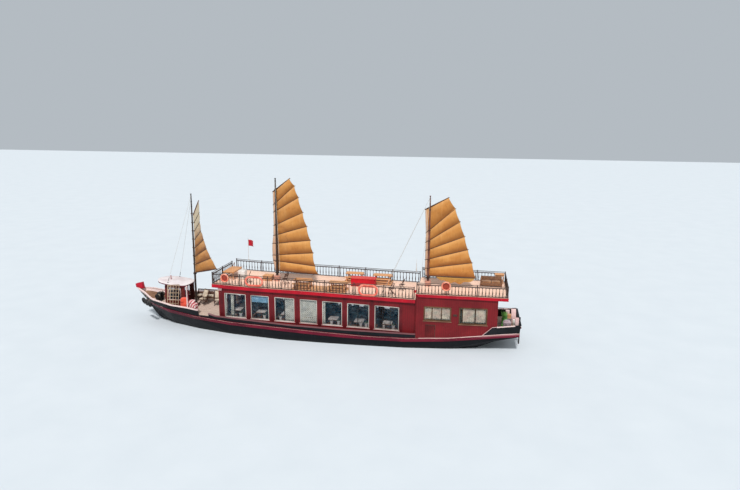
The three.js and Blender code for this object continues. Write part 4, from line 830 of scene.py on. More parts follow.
class Shape:
    """A mesh being shaped in the boat's frame."""

    def __init__(self) -> None:
        """Starts an empty mesh."""
        self.mesh = bmesh.new()
        self.map = self.mesh.loops.layers.uv.new("UVMap")

    def block(self, low: Sequence[float], high: Sequence[float], bevel: float = 0.006,
              turn: Matrix | None = None) -> None:
        """Adds a box between two corners.

        Args:
            low: Lowest corner.
            high: Highest corner.
            bevel: Width of its rounded edges.
            turn: Matrix applied after it is placed.
        """
        low, high = Vector(low), Vector(high)
        verts = bmesh.ops.create_cube(self.mesh, size=1.0)["verts"]
        bmesh.ops.scale(self.mesh, vec=high - low, verts=verts)
        bmesh.ops.translate(self.mesh, vec=(low + high) / 2, verts=verts)
        if turn:
            bmesh.ops.transform(self.mesh, matrix=turn, verts=verts)
        self._round_edges(verts, bevel)

    def _round_edges(self, verts: Iterable[bmesh.types.BMVert], bevel: float) -> None:
        """Rounds every edge that meets the points, by a bevel of that width."""
        if bevel:
            edges = list({edge for vert in verts for edge in vert.link_edges})
            bmesh.ops.bevel(self.mesh, geom=edges, offset=bevel, offset_type="OFFSET", segments=2,
                            profile=0.5, affect="EDGES", material=-1)

    def beam(self, start: Sequence[float], end: Sequence[float], wide: float, deep: float,
             up: Vector = UP, bevel: float = 0.004) -> None:
        """Adds a rectangular bar from start to end, deep along up and wide across it."""
        start, end = Vector(start), Vector(end)
        run = (end - start).normalized()
        side = up.cross(run).normalized()
        top = run.cross(side)
        turn = Matrix((run, side, top)).transposed().to_4x4()
        turn.translation = (start + end) / 2
        half = (end - start).length / 2
        self.block((-half, -wide / 2, -deep / 2), (half, wide / 2, deep / 2), bevel, turn)

    def bar(self, start: Sequence[float], end: Sequence[float], radius: float,
            end_radius: float | None = None, sides: int = 12) -> None:
        """Adds a round bar, tapered if it has an end radius."""
        start, end = Vector(start), Vector(end)
        run = end - start
        turn = UP.rotation_difference(run).to_matrix().to_4x4()
        turn.translation = (start + end) / 2
        bmesh.ops.create_cone(self.mesh, cap_ends=True, segments=sides, radius1=radius,
                              radius2=radius if end_radius is None else end_radius,
                              depth=run.length, matrix=turn)

    def turned(self, profile: Sequence[Pair], place: Sequence[float],
               axis: Vector = UP, steps: int = 20, squash: Point = (1.0, 1.0, 1.0)) -> None:
        """Adds a turned form.

        Args:
            profile: Radius and height of each point, from one end to the other.
            place: Where height 0 lies on the axis.
            axis: Direction of the heights.
            steps: Sides of the turned form.
            squash: Scale of the form before it is turned to its axis.
        """
        verts = [self.mesh.verts.new((max(r, 0.0), 0.0, h)) for r, h in profile]
        edges = [self.mesh.edges.new(pair) for pair in zip(verts, verts[1:])]
        bmesh.ops.spin(self.mesh, geom=[*verts, *edges], cent=(0, 0, 0), axis=(0, 0, 1),
                       dvec=(0, 0, 0), angle=2 * math.pi, steps=steps, use_merge=True,
                       use_duplicate=False)
        found = set(verts)
        grow = list(verts)
        while grow:
            for edge in grow.pop().link_edges:
                for vert in edge.verts:
                    if vert not in found:
                        found.add(vert)
                        grow.append(vert)
        bmesh.ops.remove_doubles(self.mesh, verts=list(found), dist=1e-5)
        kept = [vert for vert in found if vert.is_valid]
        turn = UP.rotation_difference(axis).to_matrix().to_4x4() @ Matrix.Diagonal((*squash, 1.0))
        turn.translation = Vector(place)
        bmesh.ops.transform(self.mesh, matrix=turn, verts=kept)

    def torus(self, place: Sequence[float], axis: Vector, ring: float, tube: float,
              steps: int = 32, sides: int = 12, flat: float = 1.0) -> None:
        """Adds a ring of round section, its tube flattened along the axis by flat."""
        points = [(ring + tube * math.cos(a), tube * flat * math.sin(a))
                  for a in (2 * math.pi * i / sides for i in range(sides + 1))]
        self.turned(points, place, axis, steps)

    def sweep(self, sections: Sequence[Sequence[Vector]], closed: bool = True,
              caps: bool = True) -> None:
        """Extrudes a section through later ones with equal counts of points.

        Args:
            sections: Rings of points, each the place of the one before after it is extruded.
            closed: Whether each section is a closed ring.
            caps: Whether the ends are closed.
        """
        ring = [self.mesh.verts.new(point) for point in sections[0]]
        pairs = list(zip(ring, ring[1:] + ring[:1])) if closed else list(zip(ring, ring[1:]))
        edges = [self.mesh.edges.new(pair) for pair in pairs]
        if caps and closed:
            self.mesh.faces.new(ring)
        for section in sections[1:]:
            made = bmesh.ops.extrude_edge_only(self.mesh, edges=edges)["geom"]
            fresh = {item for item in made if isinstance(item, bmesh.types.BMVert)}
            edges = [item for item in made if isinstance(item, bmesh.types.BMEdge)
                     and item.verts[0] in fresh and item.verts[1] in fresh]
            ring = [next(e.other_vert(old) for e in old.link_edges if e.other_vert(old) in fresh)
                    for old in ring]
            for vert, point in zip(ring, section):
                vert.co = point
        if caps and closed:
            self.mesh.faces.new(ring)

    def cloth(self, columns: int, rows: int, place: Callable[[float, float], Vector],
              rise: float = 1.0) -> None:
        """Adds a grid of cloth.

        Args:
            columns: Squares across.
            rows: Squares up.
            place: Place of a point from its shares across and up.
            rise: Height of the UV map.
        """
        made = bmesh.ops.create_grid(self.mesh, x_segments=columns, y_segments=rows, size=0.5,
                                     calc_uvs=True)
        share = {vert: (vert.co.x + 0.5, vert.co.y + 0.5) for vert in made["verts"]}
        for vert, (u, v) in share.items():
            vert.co = place(u, v)
            for loop in vert.link_loops:
                loop[self.map].uv = (u, v * rise)

    def outline(self, points: Sequence[Sequence[float]], push: Sequence[float],
                bevel: float = 0.0) -> None:
        """Adds a plate: a flat outline extruded by push, with rounded edges."""
        face = self.mesh.faces.new([self.mesh.verts.new(point) for point in points])
        made = bmesh.ops.extrude_face_region(self.mesh, geom=[face])["geom"]
        verts = [item for item in made if isinstance(item, bmesh.types.BMVert)]
        bmesh.ops.translate(self.mesh, vec=Vector(push), verts=verts)
        self._round_edges([*verts, *face.verts], bevel)

    def mirrored(self) -> "Shape":
        """Adds the other side's copy of everything so far, mirrored across the centreline."""
        made = bmesh.ops.duplicate(self.mesh,
                                   geom=[*self.mesh.verts, *self.mesh.edges, *self.mesh.faces])
        verts = [item for item in made["geom"] if isinstance(item, bmesh.types.BMVert)]
        bmesh.ops.scale(self.mesh, vec=(1.0, -1.0, 1.0), verts=verts)
        return self

    def area(self) -> float:
        """Area of its faces."""
        return sum(face.calc_area() for face in self.mesh.faces)

    def piece(self, name: str, finish: Finish, body: str = "boat", replaces: Iterable[str] = (),
              smooth: float = 40.0) -> bpy.types.Object:
        """Turns the mesh into a piece of the scene.

        Args:
            name: Name of the piece.
            finish: Its finish.
            body: Body that it moves with.
            replaces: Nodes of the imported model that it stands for.
            smooth: Largest angle, in degrees, that is shaded round.

        Returns:
            The new object.
        """
        bmesh.ops.remove_doubles(self.mesh, verts=self.mesh.verts, dist=2e-5)
        bmesh.ops.recalc_face_normals(self.mesh, faces=self.mesh.faces)
        data = bpy.data.meshes.new(name)
        self.mesh.to_mesh(data)
        self.mesh.free()
        data.materials.append(finish.material())
        data.shade_smooth()
        data.set_sharp_from_angle(angle=math.radians(smooth))
        piece = bpy.data.objects.new(name, data)
        bpy.context.scene.collection.objects.link(piece)
        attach(piece, body)
        if replaces:
            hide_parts(*replaces)
        LOG.info("%s: %d faces", name, len(data.polygons))
        return piece


def thicken(piece: bpy.types.Object, thickness: float) -> bpy.types.Object:
    """Gives a sheet its thickness, half to each side."""
    change = piece.modifiers.new("Solidify", "SOLIDIFY")
    change.thickness = thickness
    change.offset = 0.0
    return piece


def soften(piece: bpy.types.Object, levels: int = 1) -> bpy.types.Object:
    """Rounds a piece by subdivision."""
    change = piece.modifiers.new("Subdivision", "SUBSURF")
    change.levels = change.render_levels = levels
    return piece


def tube_path(name: str, points: Sequence[Sequence[float]], radius: float, finish: Finish,
              body: str = "boat", closed: bool = False) -> bpy.types.Object:
    """Round rod, pipe or taut line through points, as a mesh.

    Args:
        name: Name of the piece.
        points: Points that it follows.
        radius: Its radius.
        finish: Its finish.
        body: Body that it moves with.
        closed: Whether it runs back to its start.

    Returns:
        The new object.
    """
    places = [Vector(point) for point in points]
    count = len(places)
    sections = []
    for i, here in enumerate(places):
        before = places[i - 1] if i or closed else here
        after = places[(i + 1) % count] if i + 1 < count or closed else here
        run = (after - before).normalized()
        guide = UP if abs(run.z) < 0.95 else AHEAD
        side = guide.cross(run).normalized()
        top = run.cross(side)
        sections.append([here + (side * math.cos(a) + top * math.sin(a)) * radius
                         for a in (math.pi * k / 4 for k in range(8))])
    shape = Shape()
    if closed:
        sections.append(sections[0])
    shape.sweep(sections, caps=not closed)
    return shape.piece(name, finish, body)


# Studio


@dataclass(frozen=True)
class Studio:
    """Camera at the photograph's place, a pale floor at the waterline and soft light."""

    place: Point = (-11.344, 41.491, 15.4345)
    yaw: float = 9.9861
    pitch: float = 11.5385
    roll: float = 0.5213
    lens: float = 28.397

    def build(self) -> None:
        """Makes the camera, floor and lights."""
        scene = bpy.context.scene
        scene.view_settings.view_transform = "Standard"
        scene.view_settings.look = "None"
        self._camera(scene)
        shape = Shape()
        shape.block((-260.0, -260.0, -0.04), (260.0, 260.0, 0.0), 0.0)
        self._floor(shape)
        self._light()

    def _camera(self, scene: bpy.types.Scene) -> None:
        """Makes the camera."""
        data = bpy.data.cameras.new("camera")
        data.sensor_width = 36.0
        data.lens = self.lens
        data.clip_end = 900.0
        camera = bpy.data.objects.new("camera", data)
        scene.collection.objects.link(camera)
        a, p, r = (math.radians(v) for v in (self.yaw, self.pitch, self.roll))
        ahead = Vector((math.sin(a) * math.cos(p), -math.cos(a) * math.cos(p), -math.sin(p)))
        level = Vector((-math.cos(a), -math.sin(a), 0.0))
        top = level.cross(ahead)
        right = level * math.cos(r) + top * math.sin(r)
        up = top * math.cos(r) - level * math.sin(r)
        turn = Matrix((right, up, -ahead)).transposed().to_4x4()
        turn.translation = Vector(self.place)
        camera.matrix_world = turn
        scene.camera = camera

    @staticmethod
    def _floor(shape: Shape) -> None:
        """Makes the floor."""
        data = bpy.data.meshes.new("studio_floor")
        shape.mesh.to_mesh(data)
        shape.mesh.free()
        s = Shader("studio_floor")
        grain = s.cloud(s.place(), 0.4, 3.0)
        data.materials.append(s.coat(s.mix(grain, "c9cfd3", "d2d7da"), 0.9))
        floor = bpy.data.objects.new("studio_floor", data)
        bpy.context.scene.collection.objects.link(floor)

    @staticmethod
    def _light() -> None:
        """Makes a soft key light, a weak fill and an even surround."""
        world = bpy.data.worlds.new("studio")
        world.use_nodes = True
        background = world.node_tree.nodes["Background"]
        background.inputs[0].default_value = tint("dfe8f0")
        background.inputs[1].default_value = 0.62
        bpy.context.scene.world = world
        for name, power, spread, place in (("key", 2.8, 6.0, (-1.0, 12.5, 17.5)),
                                           ("fill", 0.5, 60.0, (-18.0, 4.0, 12.0))):
            data = bpy.data.lights.new(name, "SUN")
            data.energy = power
            data.angle = math.radians(spread)
            lamp = bpy.data.objects.new(name, data)
            lamp.rotation_euler = Vector(place).to_track_quat("Z", "Y").to_euler()
            bpy.context.scene.collection.objects.link(lamp)


# Carried-over solids


@dataclass(frozen=True)
class Carried:
    """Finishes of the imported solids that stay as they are."""

    finishes: tuple[tuple[Finish, tuple[str, ...]], ...] = (
        (HULL, ("hull",)),
        (BULWARK, ("fore_bulwark", "waist_bulwark_port", "waist_bulwark_starboard",
                   "stern_bulwark")),
        (RED_TRIM, ("stem_head",)),
        (ROOF, ("upper_deck", "stern_deck")),
        (MAROON, ("saloon_side_port", "saloon_side_starboard", "saloon_front", "stern_cabin_front",
                  "stern_cabin_side_port", "stern_cabin_side_starboard", "stern_cabin_aft")),
        (DOOR, ("saloon_door", "stern_cabin_door", "side_hatch")),
        (WHEEL_WALL, ("wheelhouse_side_port", "wheelhouse_side_starboard", "wheelhouse_back",
                      "wheelhouse_front")),
        (WHITE, ("wheelhouse_roof",)),
        (LATTICE, ("boarding_rack",)),
        (CABIN_WOOD, ("saloon_seating", "helm_pedestal", "helm_wheel", "engine_room_deck",
                      "stair")),
        (ENGINE, ("engine",)),
        (BRONZE, ("propeller",)),
        (RUDDER, ("rudder",)),
        (IRON, ("windlass",)),
        (STEEL, ("water_tank", "stern_locker")),
        (DARK_WOOD, ("foredeck_bench", "mast_bench")),
        (TAN_WOOD, ("wicker_sofa", "deck_tables_port", "deck_tables_starboard", "fore_table",
                    "corner_table")),
        (BRIGHT_RED, ("red_table",)),
        (RAIL_DARK, ("rail_port", "rail_starboard", "rail_stern")),
        (MAST_WOOD, ("fore_mast", "main_mast", "mizzen_mast")),
        (SAIL, ("fore_sail", "main_sail", "mizzen_sail")),
    )

    def build(self) -> None:
        """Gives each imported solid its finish."""
        for finish, names in self.finishes:
            for name in names:
                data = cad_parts[name].data
                data.materials.clear()
                data.materials.append(finish.material())


# Masts and sails


class Tack(Enum):
    """Side of its mast on which a sail lies."""

    PORT = 1
    STARBOARD = -1


@dataclass(frozen=True)
class Mast:
    """One mast: place, height, radii, the collar under its boom and its step."""

    name: str
    x: float
    foot_z: float
    top_z: float
    foot_radius: float
    top_radius: float
    collar_z: float
    step_z: float
    step_height: float
    finish: Finish
    step_finish: Finish
    tack: Tack = Tack.STARBOARD

    def radius(self, z: float) -> float:
        """Radius of the pole at a height."""
        share = (z - self.foot_z) / (self.top_z - self.foot_z)
        return self.foot_radius + (self.top_radius - self.foot_radius) * share

    def build(self) -> None:
        """Makes the pole, its iron bands and collar, and its step."""
        self._pole()
        self._bands()
        self._step()

    def _pole(self) -> None:
        """Makes the slightly uneven pole with its truck."""
        pole = Shape()
        profile = [(0.0, self.foot_z), (self.foot_radius, self.foot_z)]
        levels = 18
        for i in range(1, levels):
            z = self.foot_z + (self.top_z - 0.16 - self.foot_z) * i / levels
            profile.append((self.radius(z) * (1.0 + 0.012 * math.sin(i * 1.7)), z))
        z, r = self.top_z, self.top_radius
        profile += [(r, z - 0.16), (r * 0.82, z - 0.14), (r * 0.82, z - 0.07), (r * 1.35, z - 0.05),
                    (r * 1.35, z - 0.02), (r * 0.9, z), (0.0, z)]
        pole.turned(profile, (self.x, 0.0, 0.0), steps=24)
        pole.piece(f"{self.name}_mast_pole", self.finish, replaces=(f"{self.name}_mast",))

    def _bands(self) -> None:
        """Makes the collar under the boom and two bands near the head."""
        iron = Shape()
        for z in (self.collar_z - 0.07, self.top_z - 0.62, self.top_z - 1.05):
            band = self.radius(z) + 0.006
            collar = z < self.collar_z
            high = 0.07 if collar else 0.045
            wide = self.radius(self.collar_z) + 0.055 if collar else band + 0.004
            inner = band - 0.008
            iron.turned([(inner, z), (wide, z), (wide, z + high), (inner, z + high), (inner, z)],
                        (self.x, 0.0, 0.0), steps=24)
        iron.piece(f"{self.name}_mast_bands", IRON)

    def _step(self) -> None:
        """Makes the box that the mast stands in."""
        step = Shape()
        z0, z1 = self.step_z, self.step_z + self.step_height
        step.block((self.x - 0.2, -0.2, z0), (self.x + 0.2, 0.2, z1 - 0.03), 0.01)
        step.block((self.x - 0.21, -0.21, z1 - 0.05), (self.x + 0.21, 0.21, z1), 0.012)
        step.block((self.x - 0.21, -0.21, z0), (self.x + 0.21, 0.21, z0 + 0.07), 0.01)
        for side in (-1, 1):
            step.block((self.x - 0.04, side * 0.2 - 0.012, z0 + 0.07),
                       (self.x + 0.04, side * 0.2 + 0.012, z1 - 0.05), 0.004)
        step.piece(f"{self.name}_mast_step", self.step_finish)


FORE_MAST = Mast("fore", 9.93, 1.345, 10.23, 0.085, 0.045, 3.96, 1.308, 0.18,
                 MAST_WOOD, DARK_WOOD, Tack.PORT)
MAIN_MAST = Mast("main", 3.15, 3.75, 11.58, 0.095, 0.05, 4.4, 3.732, 0.42, MAST_WOOD, SALMON_WOOD)
MIZZEN_MAST = Mast("mizzen", -8.37, 3.995, 10.61, 0.085, 0.045, 4.62, 3.981, 0.38,
                   MIZZEN_WOOD, SALMON_WOOD)


@dataclass(frozen=True)
class SailRow:
    """One spar of a sail: its ends aft of the mast, their heights, and its swing in degrees."""

    luff: float
    luff_z: float
    leech: float
    leech_z: float
    swing: float


@dataclass(frozen=True)
class LugSail:
    """Battened lug sail of one mast, from its boom up to its yard.

    Its plane stands off the mast by the gap, and the spars lie beside the plane. The foot is the
    loose cloth under the boom: its two ends, as shares of the boom, and how far it hangs.
    """

    mast: Mast
    rows: tuple[SailRow, ...]
    belly: float = 0.12
    foot: tuple[float, float, float] | None = None
    finish: Finish = SAIL
    gap: float = 0.057
    spar_side: float = 0.012
    yard_radius: float = 0.043
    batten_radius: float = 0.027

    def point(self, u: float, z: float, swing: float, across: float = 0.0) -> Vector:
        """Place of a point u aft of the mast, across the sail's plane to port."""
        a = math.radians(swing)
        side = across + self.mast.tack.value * (self.mast.foot_radius + self.gap)
        return Vector((self.mast.x - u * math.cos(a) + side * math.sin(a),
                       u * math.sin(a) + side * math.cos(a), z))

    def on_row(self, row: SailRow, s: float, across: float = 0.0, lift: float = 0.0,
               past: float = 0.0) -> Vector:
        """Place on a spar, from 0 at the luff to 1 at the leech."""
        u = row.luff + (row.leech - row.luff) * s + past
        z = row.luff_z + (row.leech_z - row.luff_z) * s + lift
        return self.point(u, z, row.swing, across)

    def on_cloth(self, u: float, v: float) -> Vector:
        """Place on the cloth: u from luff to leech, v from boom to yard."""
        panels = len(self.rows) - 1
        i = min(int(v * panels), panels - 1)
        t = v * panels - i
        low, high = self.rows[i], self.rows[i + 1]
        arch = math.sin(math.pi * t) ** 0.8
        lean = 0.75 + 0.5 * t
        span = math.sin(math.pi * (0.08 + 0.84 * u))
        reach = abs(low.luff + (low.leech - low.luff) * u)
        free = min(max((reach - 0.2) / 0.7, 0.08), 1.0)
        crease = noise.noise(Vector((u * 5.0 + i * 7.1, t * 2.2, self.mast.x))) * 0.035
        fan = math.sin(u * 34.0 + t * 3.0 + i) * 0.006 * t ** 2
        across = (self.belly * (0.55 + 0.45 * span) * lean + crease + fan) * arch * free
        edge = -0.035 * arch * (u ** 6)
        a = self.on_row(low, u, across, 0.0, edge)
        b = self.on_row(high, u, across, 0.0, edge)
        return a.lerp(b, t)

    def build(self) -> None:
        """Makes the cloth, its spars, edge ropes and parrels, and the loose foot if it has one."""
        name, body = self.mast.name, f"{self.mast.name}_sail_body"
        panels = len(self.rows) - 1
        cloth = Shape()
        cloth.cloth(36, panels * 10, self.on_cloth, panels)
        area = cloth.area()
        chord = max(row.leech - row.luff for row in self.rows) * 1.04
        high = max(row.leech_z for row in self.rows) - min(row.luff_z for row in self.rows)
        piece = thicken(cloth.piece(f"{name}_sailcloth", self.finish, body, (f"{name}_sail",)),
                        0.008)
        spars = Shape()
        for i, row in enumerate(self.rows):
            self._spar(spars, row, self.yard_radius if i in (0, panels) else self.batten_radius)
        spars.piece(f"{name}_sail_spars", BAMBOO, body)
        max(high, area / chord * 1.02)
        for edge, u in (("luff", 0.0), ("leech", 1.0)):
            steps = [self.on_cloth(u, k / (panels * 6)) for k in range(panels * 6 + 1)]
            tube_path(f"{name}_{edge}_rope", steps, 0.011, ROPE, body)
        self._parrels(name, body)
        if self.foot:
            self._loose_foot(name, body)

    def _spar(self, shape: Shape, row: SailRow, radius: float) -> None:
        """Adds a slightly bowed round spar along a row."""
        ends = []
        run = (self.on_row(row, 1.0) - self.on_row(row, 0.0)).normalized()
        side = UP.cross(run).normalized()
        top = run.cross(side)
        for k in range(13):
            s = k / 12
            past = -0.04 * (1 - s) + 0.06 * s
            here = self.on_row(row, s, self.spar_side, 0.0, past)
            size = radius * (0.62 + 0.38 * math.sin(math.pi * (0.12 + 0.76 * s)))
            ends.append([here + (side * math.cos(a) + top * math.sin(a)) * size
                         for a in (math.pi * j / 5 for j in range(10))])
        shape.sweep(ends)

    def _parrels(self, name: str, body: str) -> None:
        """Makes rope hoops round the mast at each spar, and lashings to the spars."""
        hoops = Shape()
        for i, row in enumerate(self.rows):
            s = -row.luff / (row.leech - row.luff)
            spar_z = row.luff_z + (row.leech_z - row.luff_z) * s
            z = self.mast.collar_z + 0.045 if i == 0 else spar_z
            ring = self.mast.radius(z) + 0.024
            hoops.torus((self.mast.x, 0.0, z), UP, ring, 0.016, 24, 8, 1.6)
            near = self.point(0.0, z, row.swing, self.mast.foot_radius + self.gap - ring)
            hoops.beam(near, self.on_row(row, s, 0.03), 0.03, 0.05)
        hoops.piece(f"{name}_sail_parrels", DARK_ROPE, body)

    def _loose_foot(self, name: str, body: str) -> None:
        """Makes the slack cloth that hangs under the boom between two points."""
        start, end, drop = self.foot
        row = self.rows[0]

        def place(u: float, v: float) -> Vector:
            """Place on the hanging cloth: along the boom, then round the bag."""
            s = start + (end - start) * u
            turn = math.pi * v
            fall = drop * (math.sin(math.pi * u) ** 0.55) * (0.86 + 0.14 * math.sin(u * 23.0))
            depth = math.sin(turn) * fall
            wide = math.cos(turn) * (0.035 + 0.07 * math.sin(math.pi * u))
            fold = 0.022 * math.sin(u * 40.0 + v * 4.0) * math.sin(turn)
            return self.on_row(row, s, wide + fold, -0.03 - depth)

        bag = Shape()
        bag.cloth(48, 14, place)
        area = bag.area()
        length = (row.leech - row.luff) * (end - start)
        piece = thicken(bag.piece(f"{name}_loose_foot", FOOT_CLOTH, body), 0.006)
        length * 1.1
        area / (length * 1.1)


FORE_SAIL = LugSail(FORE_MAST, tuple(SailRow(*row) for row in (
    (-0.1, 4.05, 2.3, 3.8, -72), (-0.11, 4.7, 1.99, 4.76, -81), (-0.11, 5.35, 1.8, 5.55, -89),
    (-0.11, 6.0, 1.64, 6.33, -94), (-0.11, 6.65, 1.42, 7.08, -98), (-0.11, 7.3, 1.28, 7.83, -99),
    (-0.11, 7.95, 1.33, 8.6, -99), (-0.11, 8.6, 1.1, 9.56, -96))), 0.07, finish=FORE_CLOTH)
MAIN_SAIL = LugSail(MAIN_MAST, tuple(SailRow(*row) for row in (
    (-0.26, 4.48, 3.4, 4.48, 9), (-0.4, 5.26, 3.12, 5.1, 9), (-0.44, 5.66, 2.95, 6.11, 9),
    (-0.42, 6.57, 2.74, 7.05, 9), (-0.33, 7.18, 2.46, 8.09, 9), (-0.29, 7.95, 2.15, 9.12, 9),
    (-0.28, 8.98, 1.81, 10.23, 9), (-0.28, 9.52, 1.5, 11.06, 9),
    (-0.29, 10.52, 1.1, 11.6, 9))), 0.15)
MIZZEN_SAIL = LugSail(MIZZEN_MAST, tuple(SailRow(*row) for row in (
    (-0.2, 4.7, 3.42, 4.7, 0), (-0.25, 5.24, 3.12, 5.83, 0), (-0.25, 5.88, 2.78, 6.79, 0),
    (-0.25, 6.56, 2.52, 7.74, 0), (-0.25, 7.16, 2.14, 8.8, 0), (-0.25, 7.86, 1.78, 9.74, 0),
    (-0.34, 9.58, 1.28, 10.51, 0))), 0.15, (0.22, 0.985, 0.5))


# Rails, floats and rigging


@dataclass(frozen=True)
class Railing:
    """Rail of an upper deck: square posts, two rods and turned balusters.

    A rod is its drop below the rail's height and its radius. Balusters stand a pitch apart.
    """

    name: str
    replaces: str
    runs: tuple[tuple[Pair, Pair], ...]
    foot: Line
    height: float
    bay: float = 2.1
    pitch: float = 0.235
    post: float = 0.062
    post_cap: float = 0.078
    rods: Pairs = ((0.015, 0.021), (0.105, 0.016))

    def build(self) -> None:
        """Makes the posts, rods and balusters of every run."""
        posts, balusters = Shape(), Shape()
        for start, end in self.runs:
            self._run(posts, balusters, Vector((*start, 0.0)), Vector((*end, 0.0)))
        posts.piece(f"{self.name}_posts", RAIL_DARK, replaces=(self.replaces,))
        balusters.piece(f"{self.name}_balusters", RAIL_DARK)

    def _run(self, posts: Shape, balusters: Shape, start: Vector, end: Vector) -> None:
        """Adds one straight run."""
        run = end - start
        ahead = run.normalized()
        bays = max(1, round(run.length / self.bay))

        def at(share: float, lift: float) -> Vector:
            """Place above the deck at a share of the run."""
            here = start + run * share
            return Vector((here.x, here.y, self.foot.at(here.x) + lift))

        top, tall = self.height, self.height - 0.21
        form = [(0.0, 0.0), (0.03, 0.0), (0.03, 0.05), (0.018, 0.07), (0.034, 0.17), (0.036, 0.24),
                (0.02, tall * 0.62), (0.017, tall - 0.1), (0.028, tall - 0.06), (0.028, tall),
                (0.0, tall)]
        for i in range(bays + 1):
            share = i / bays
            for low, high, wide, bevel in ((0.0005, top + 0.012, self.post, 0.008),
                                           (top + 0.01, top + 0.03, self.post_cap, 0.006)):
                posts.beam(at(share, low), at(share, high), wide, wide, ahead, bevel)
        for i in range(bays):
            a, b = i / bays, (i + 1) / bays
            for drop, radius in self.rods:
                posts.bar(at(a, top - drop), at(b, top - drop), radius, sides=10)
            for lift, deep in ((0.05, 0.04), (top - 0.15, 0.035)):
                posts.beam(at(a, lift), at(b, lift), 0.05, deep)
            count = max(1, round(run.length / bays / self.pitch))
            for k in range(count):
                balusters.turned(form, at(a + (b - a) * (k + 0.5) / count, 0.065), steps=8)


RAILINGS = (
    Railing("port_rail", "rail_port",
            (((7.395, 2.295), (-7.6, 2.295)), ((7.395, 2.295), (7.395, -1.37))),
            LINES.roof_z, 0.88),
    Railing("starboard_rail", "rail_starboard", (((7.395, -2.295), (-7.6, -2.295)),),
            LINES.roof_z, 0.88),
    Railing("stern_rail", "rail_stern",
            (((-7.79, 2.31), (-13.995, 2.145)), ((-7.79, -2.31), (-13.995, -2.145)),
             ((-13.995, 2.145), (-13.995, -2.145))),
            sloped(LINES.stern_z), 0.8),
)


@dataclass(frozen=True)
class HungFloat:
    """Life ring or oval float hung outside a rail: place, half sizes and width of its tube."""

    name: str
    place: Point
    half_length: float
    half_height: float
    tube: float
    finish: Finish
    bands: int = 4
    backing: bool = False
    half_depth: float = 0.052

    def centre(self, turn: float) -> tuple[Vector, Vector]:
        """Centre line and outward direction at a share of a full turn."""
        angle = 2 * math.pi * turn
        radius = self.half_height - self.tube / 2
        straight = self.half_length - self.half_height
        side = straight if math.cos(angle) > 0 else -straight
        out = Vector((math.cos(angle), 0.0, math.sin(angle)))
        return Vector(self.place) + Vector((side, 0.0, 0.0)) + out * radius, out

    def _section(self, turn: float, grow: float) -> list[Vector]:
        """Ring of points round the tube."""
        here, out = self.centre(turn)
        wide, deep = self.tube / 2 + grow, self.half_depth + grow
        return [here + out * math.cos(a) * wide + PORT * math.sin(a) * deep
                for a in (math.pi * k / 6 for k in range(12))]

    def build(self) -> None:
        """Makes the tube, its bands and grab line, and the canvas inside a life ring."""
        tube = Shape()
        steps = 48
        sections = [self._section((k + 0.5) / steps, 0.0) for k in range(steps)]
        tube.sweep([*sections, sections[0]], caps=False)
        tube.piece(self.name, self.finish)
        bands = Shape()
        for b in range(self.bands):
            middle = (b + 0.5) / self.bands
            bands.sweep([self._section(middle + k * 0.008, 0.003) for k in range(-3, 4)])
        bands.piece(f"{self.name}_bands", FLOAT_BAND)
        line = []
        for k in range(64):
            here, out = self.centre((k + 0.5) / 64)
            sag = 0.02 * abs(math.sin(math.pi * self.bands * (k + 0.5) / 64 + math.pi / 2))
            line.append(here + out * (self.tube / 2 + 0.008 + sag))
        tube_path(f"{self.name}_grab_line", line, 0.007, ROPE, closed=True)
        if self.backing:
            panel = Shape()
            x, y, z = self.place
            radius = self.half_height - self.tube * 0.7
            panel.turned([(0.0, 0.0), (radius, 0.0), (radius, 0.006), (0.0, 0.012)],
                         (x, y - 0.036, z), PORT, 24)
            panel.piece(f"{self.name}_canvas", BACKING)


FLOATS = (
    HungFloat("life_ring_fore", (6.4, 2.374, 4.36), 0.325, 0.325, 0.1, RING_PLASTIC, backing=True),
    HungFloat("oval_float_fore", (4.13, 2.374, 4.22), 0.715, 0.39, 0.15, FLOAT_PLASTIC, 6),
    HungFloat("oval_float_aft", (-4.34, 2.374, 4.04), 0.725, 0.43, 0.15, FLOAT_PLASTIC, 6),
    HungFloat("life_ring_aft", (-9.8, 2.332, 4.64), 0.335, 0.335, 0.1, RING_PLASTIC, backing=True),
)


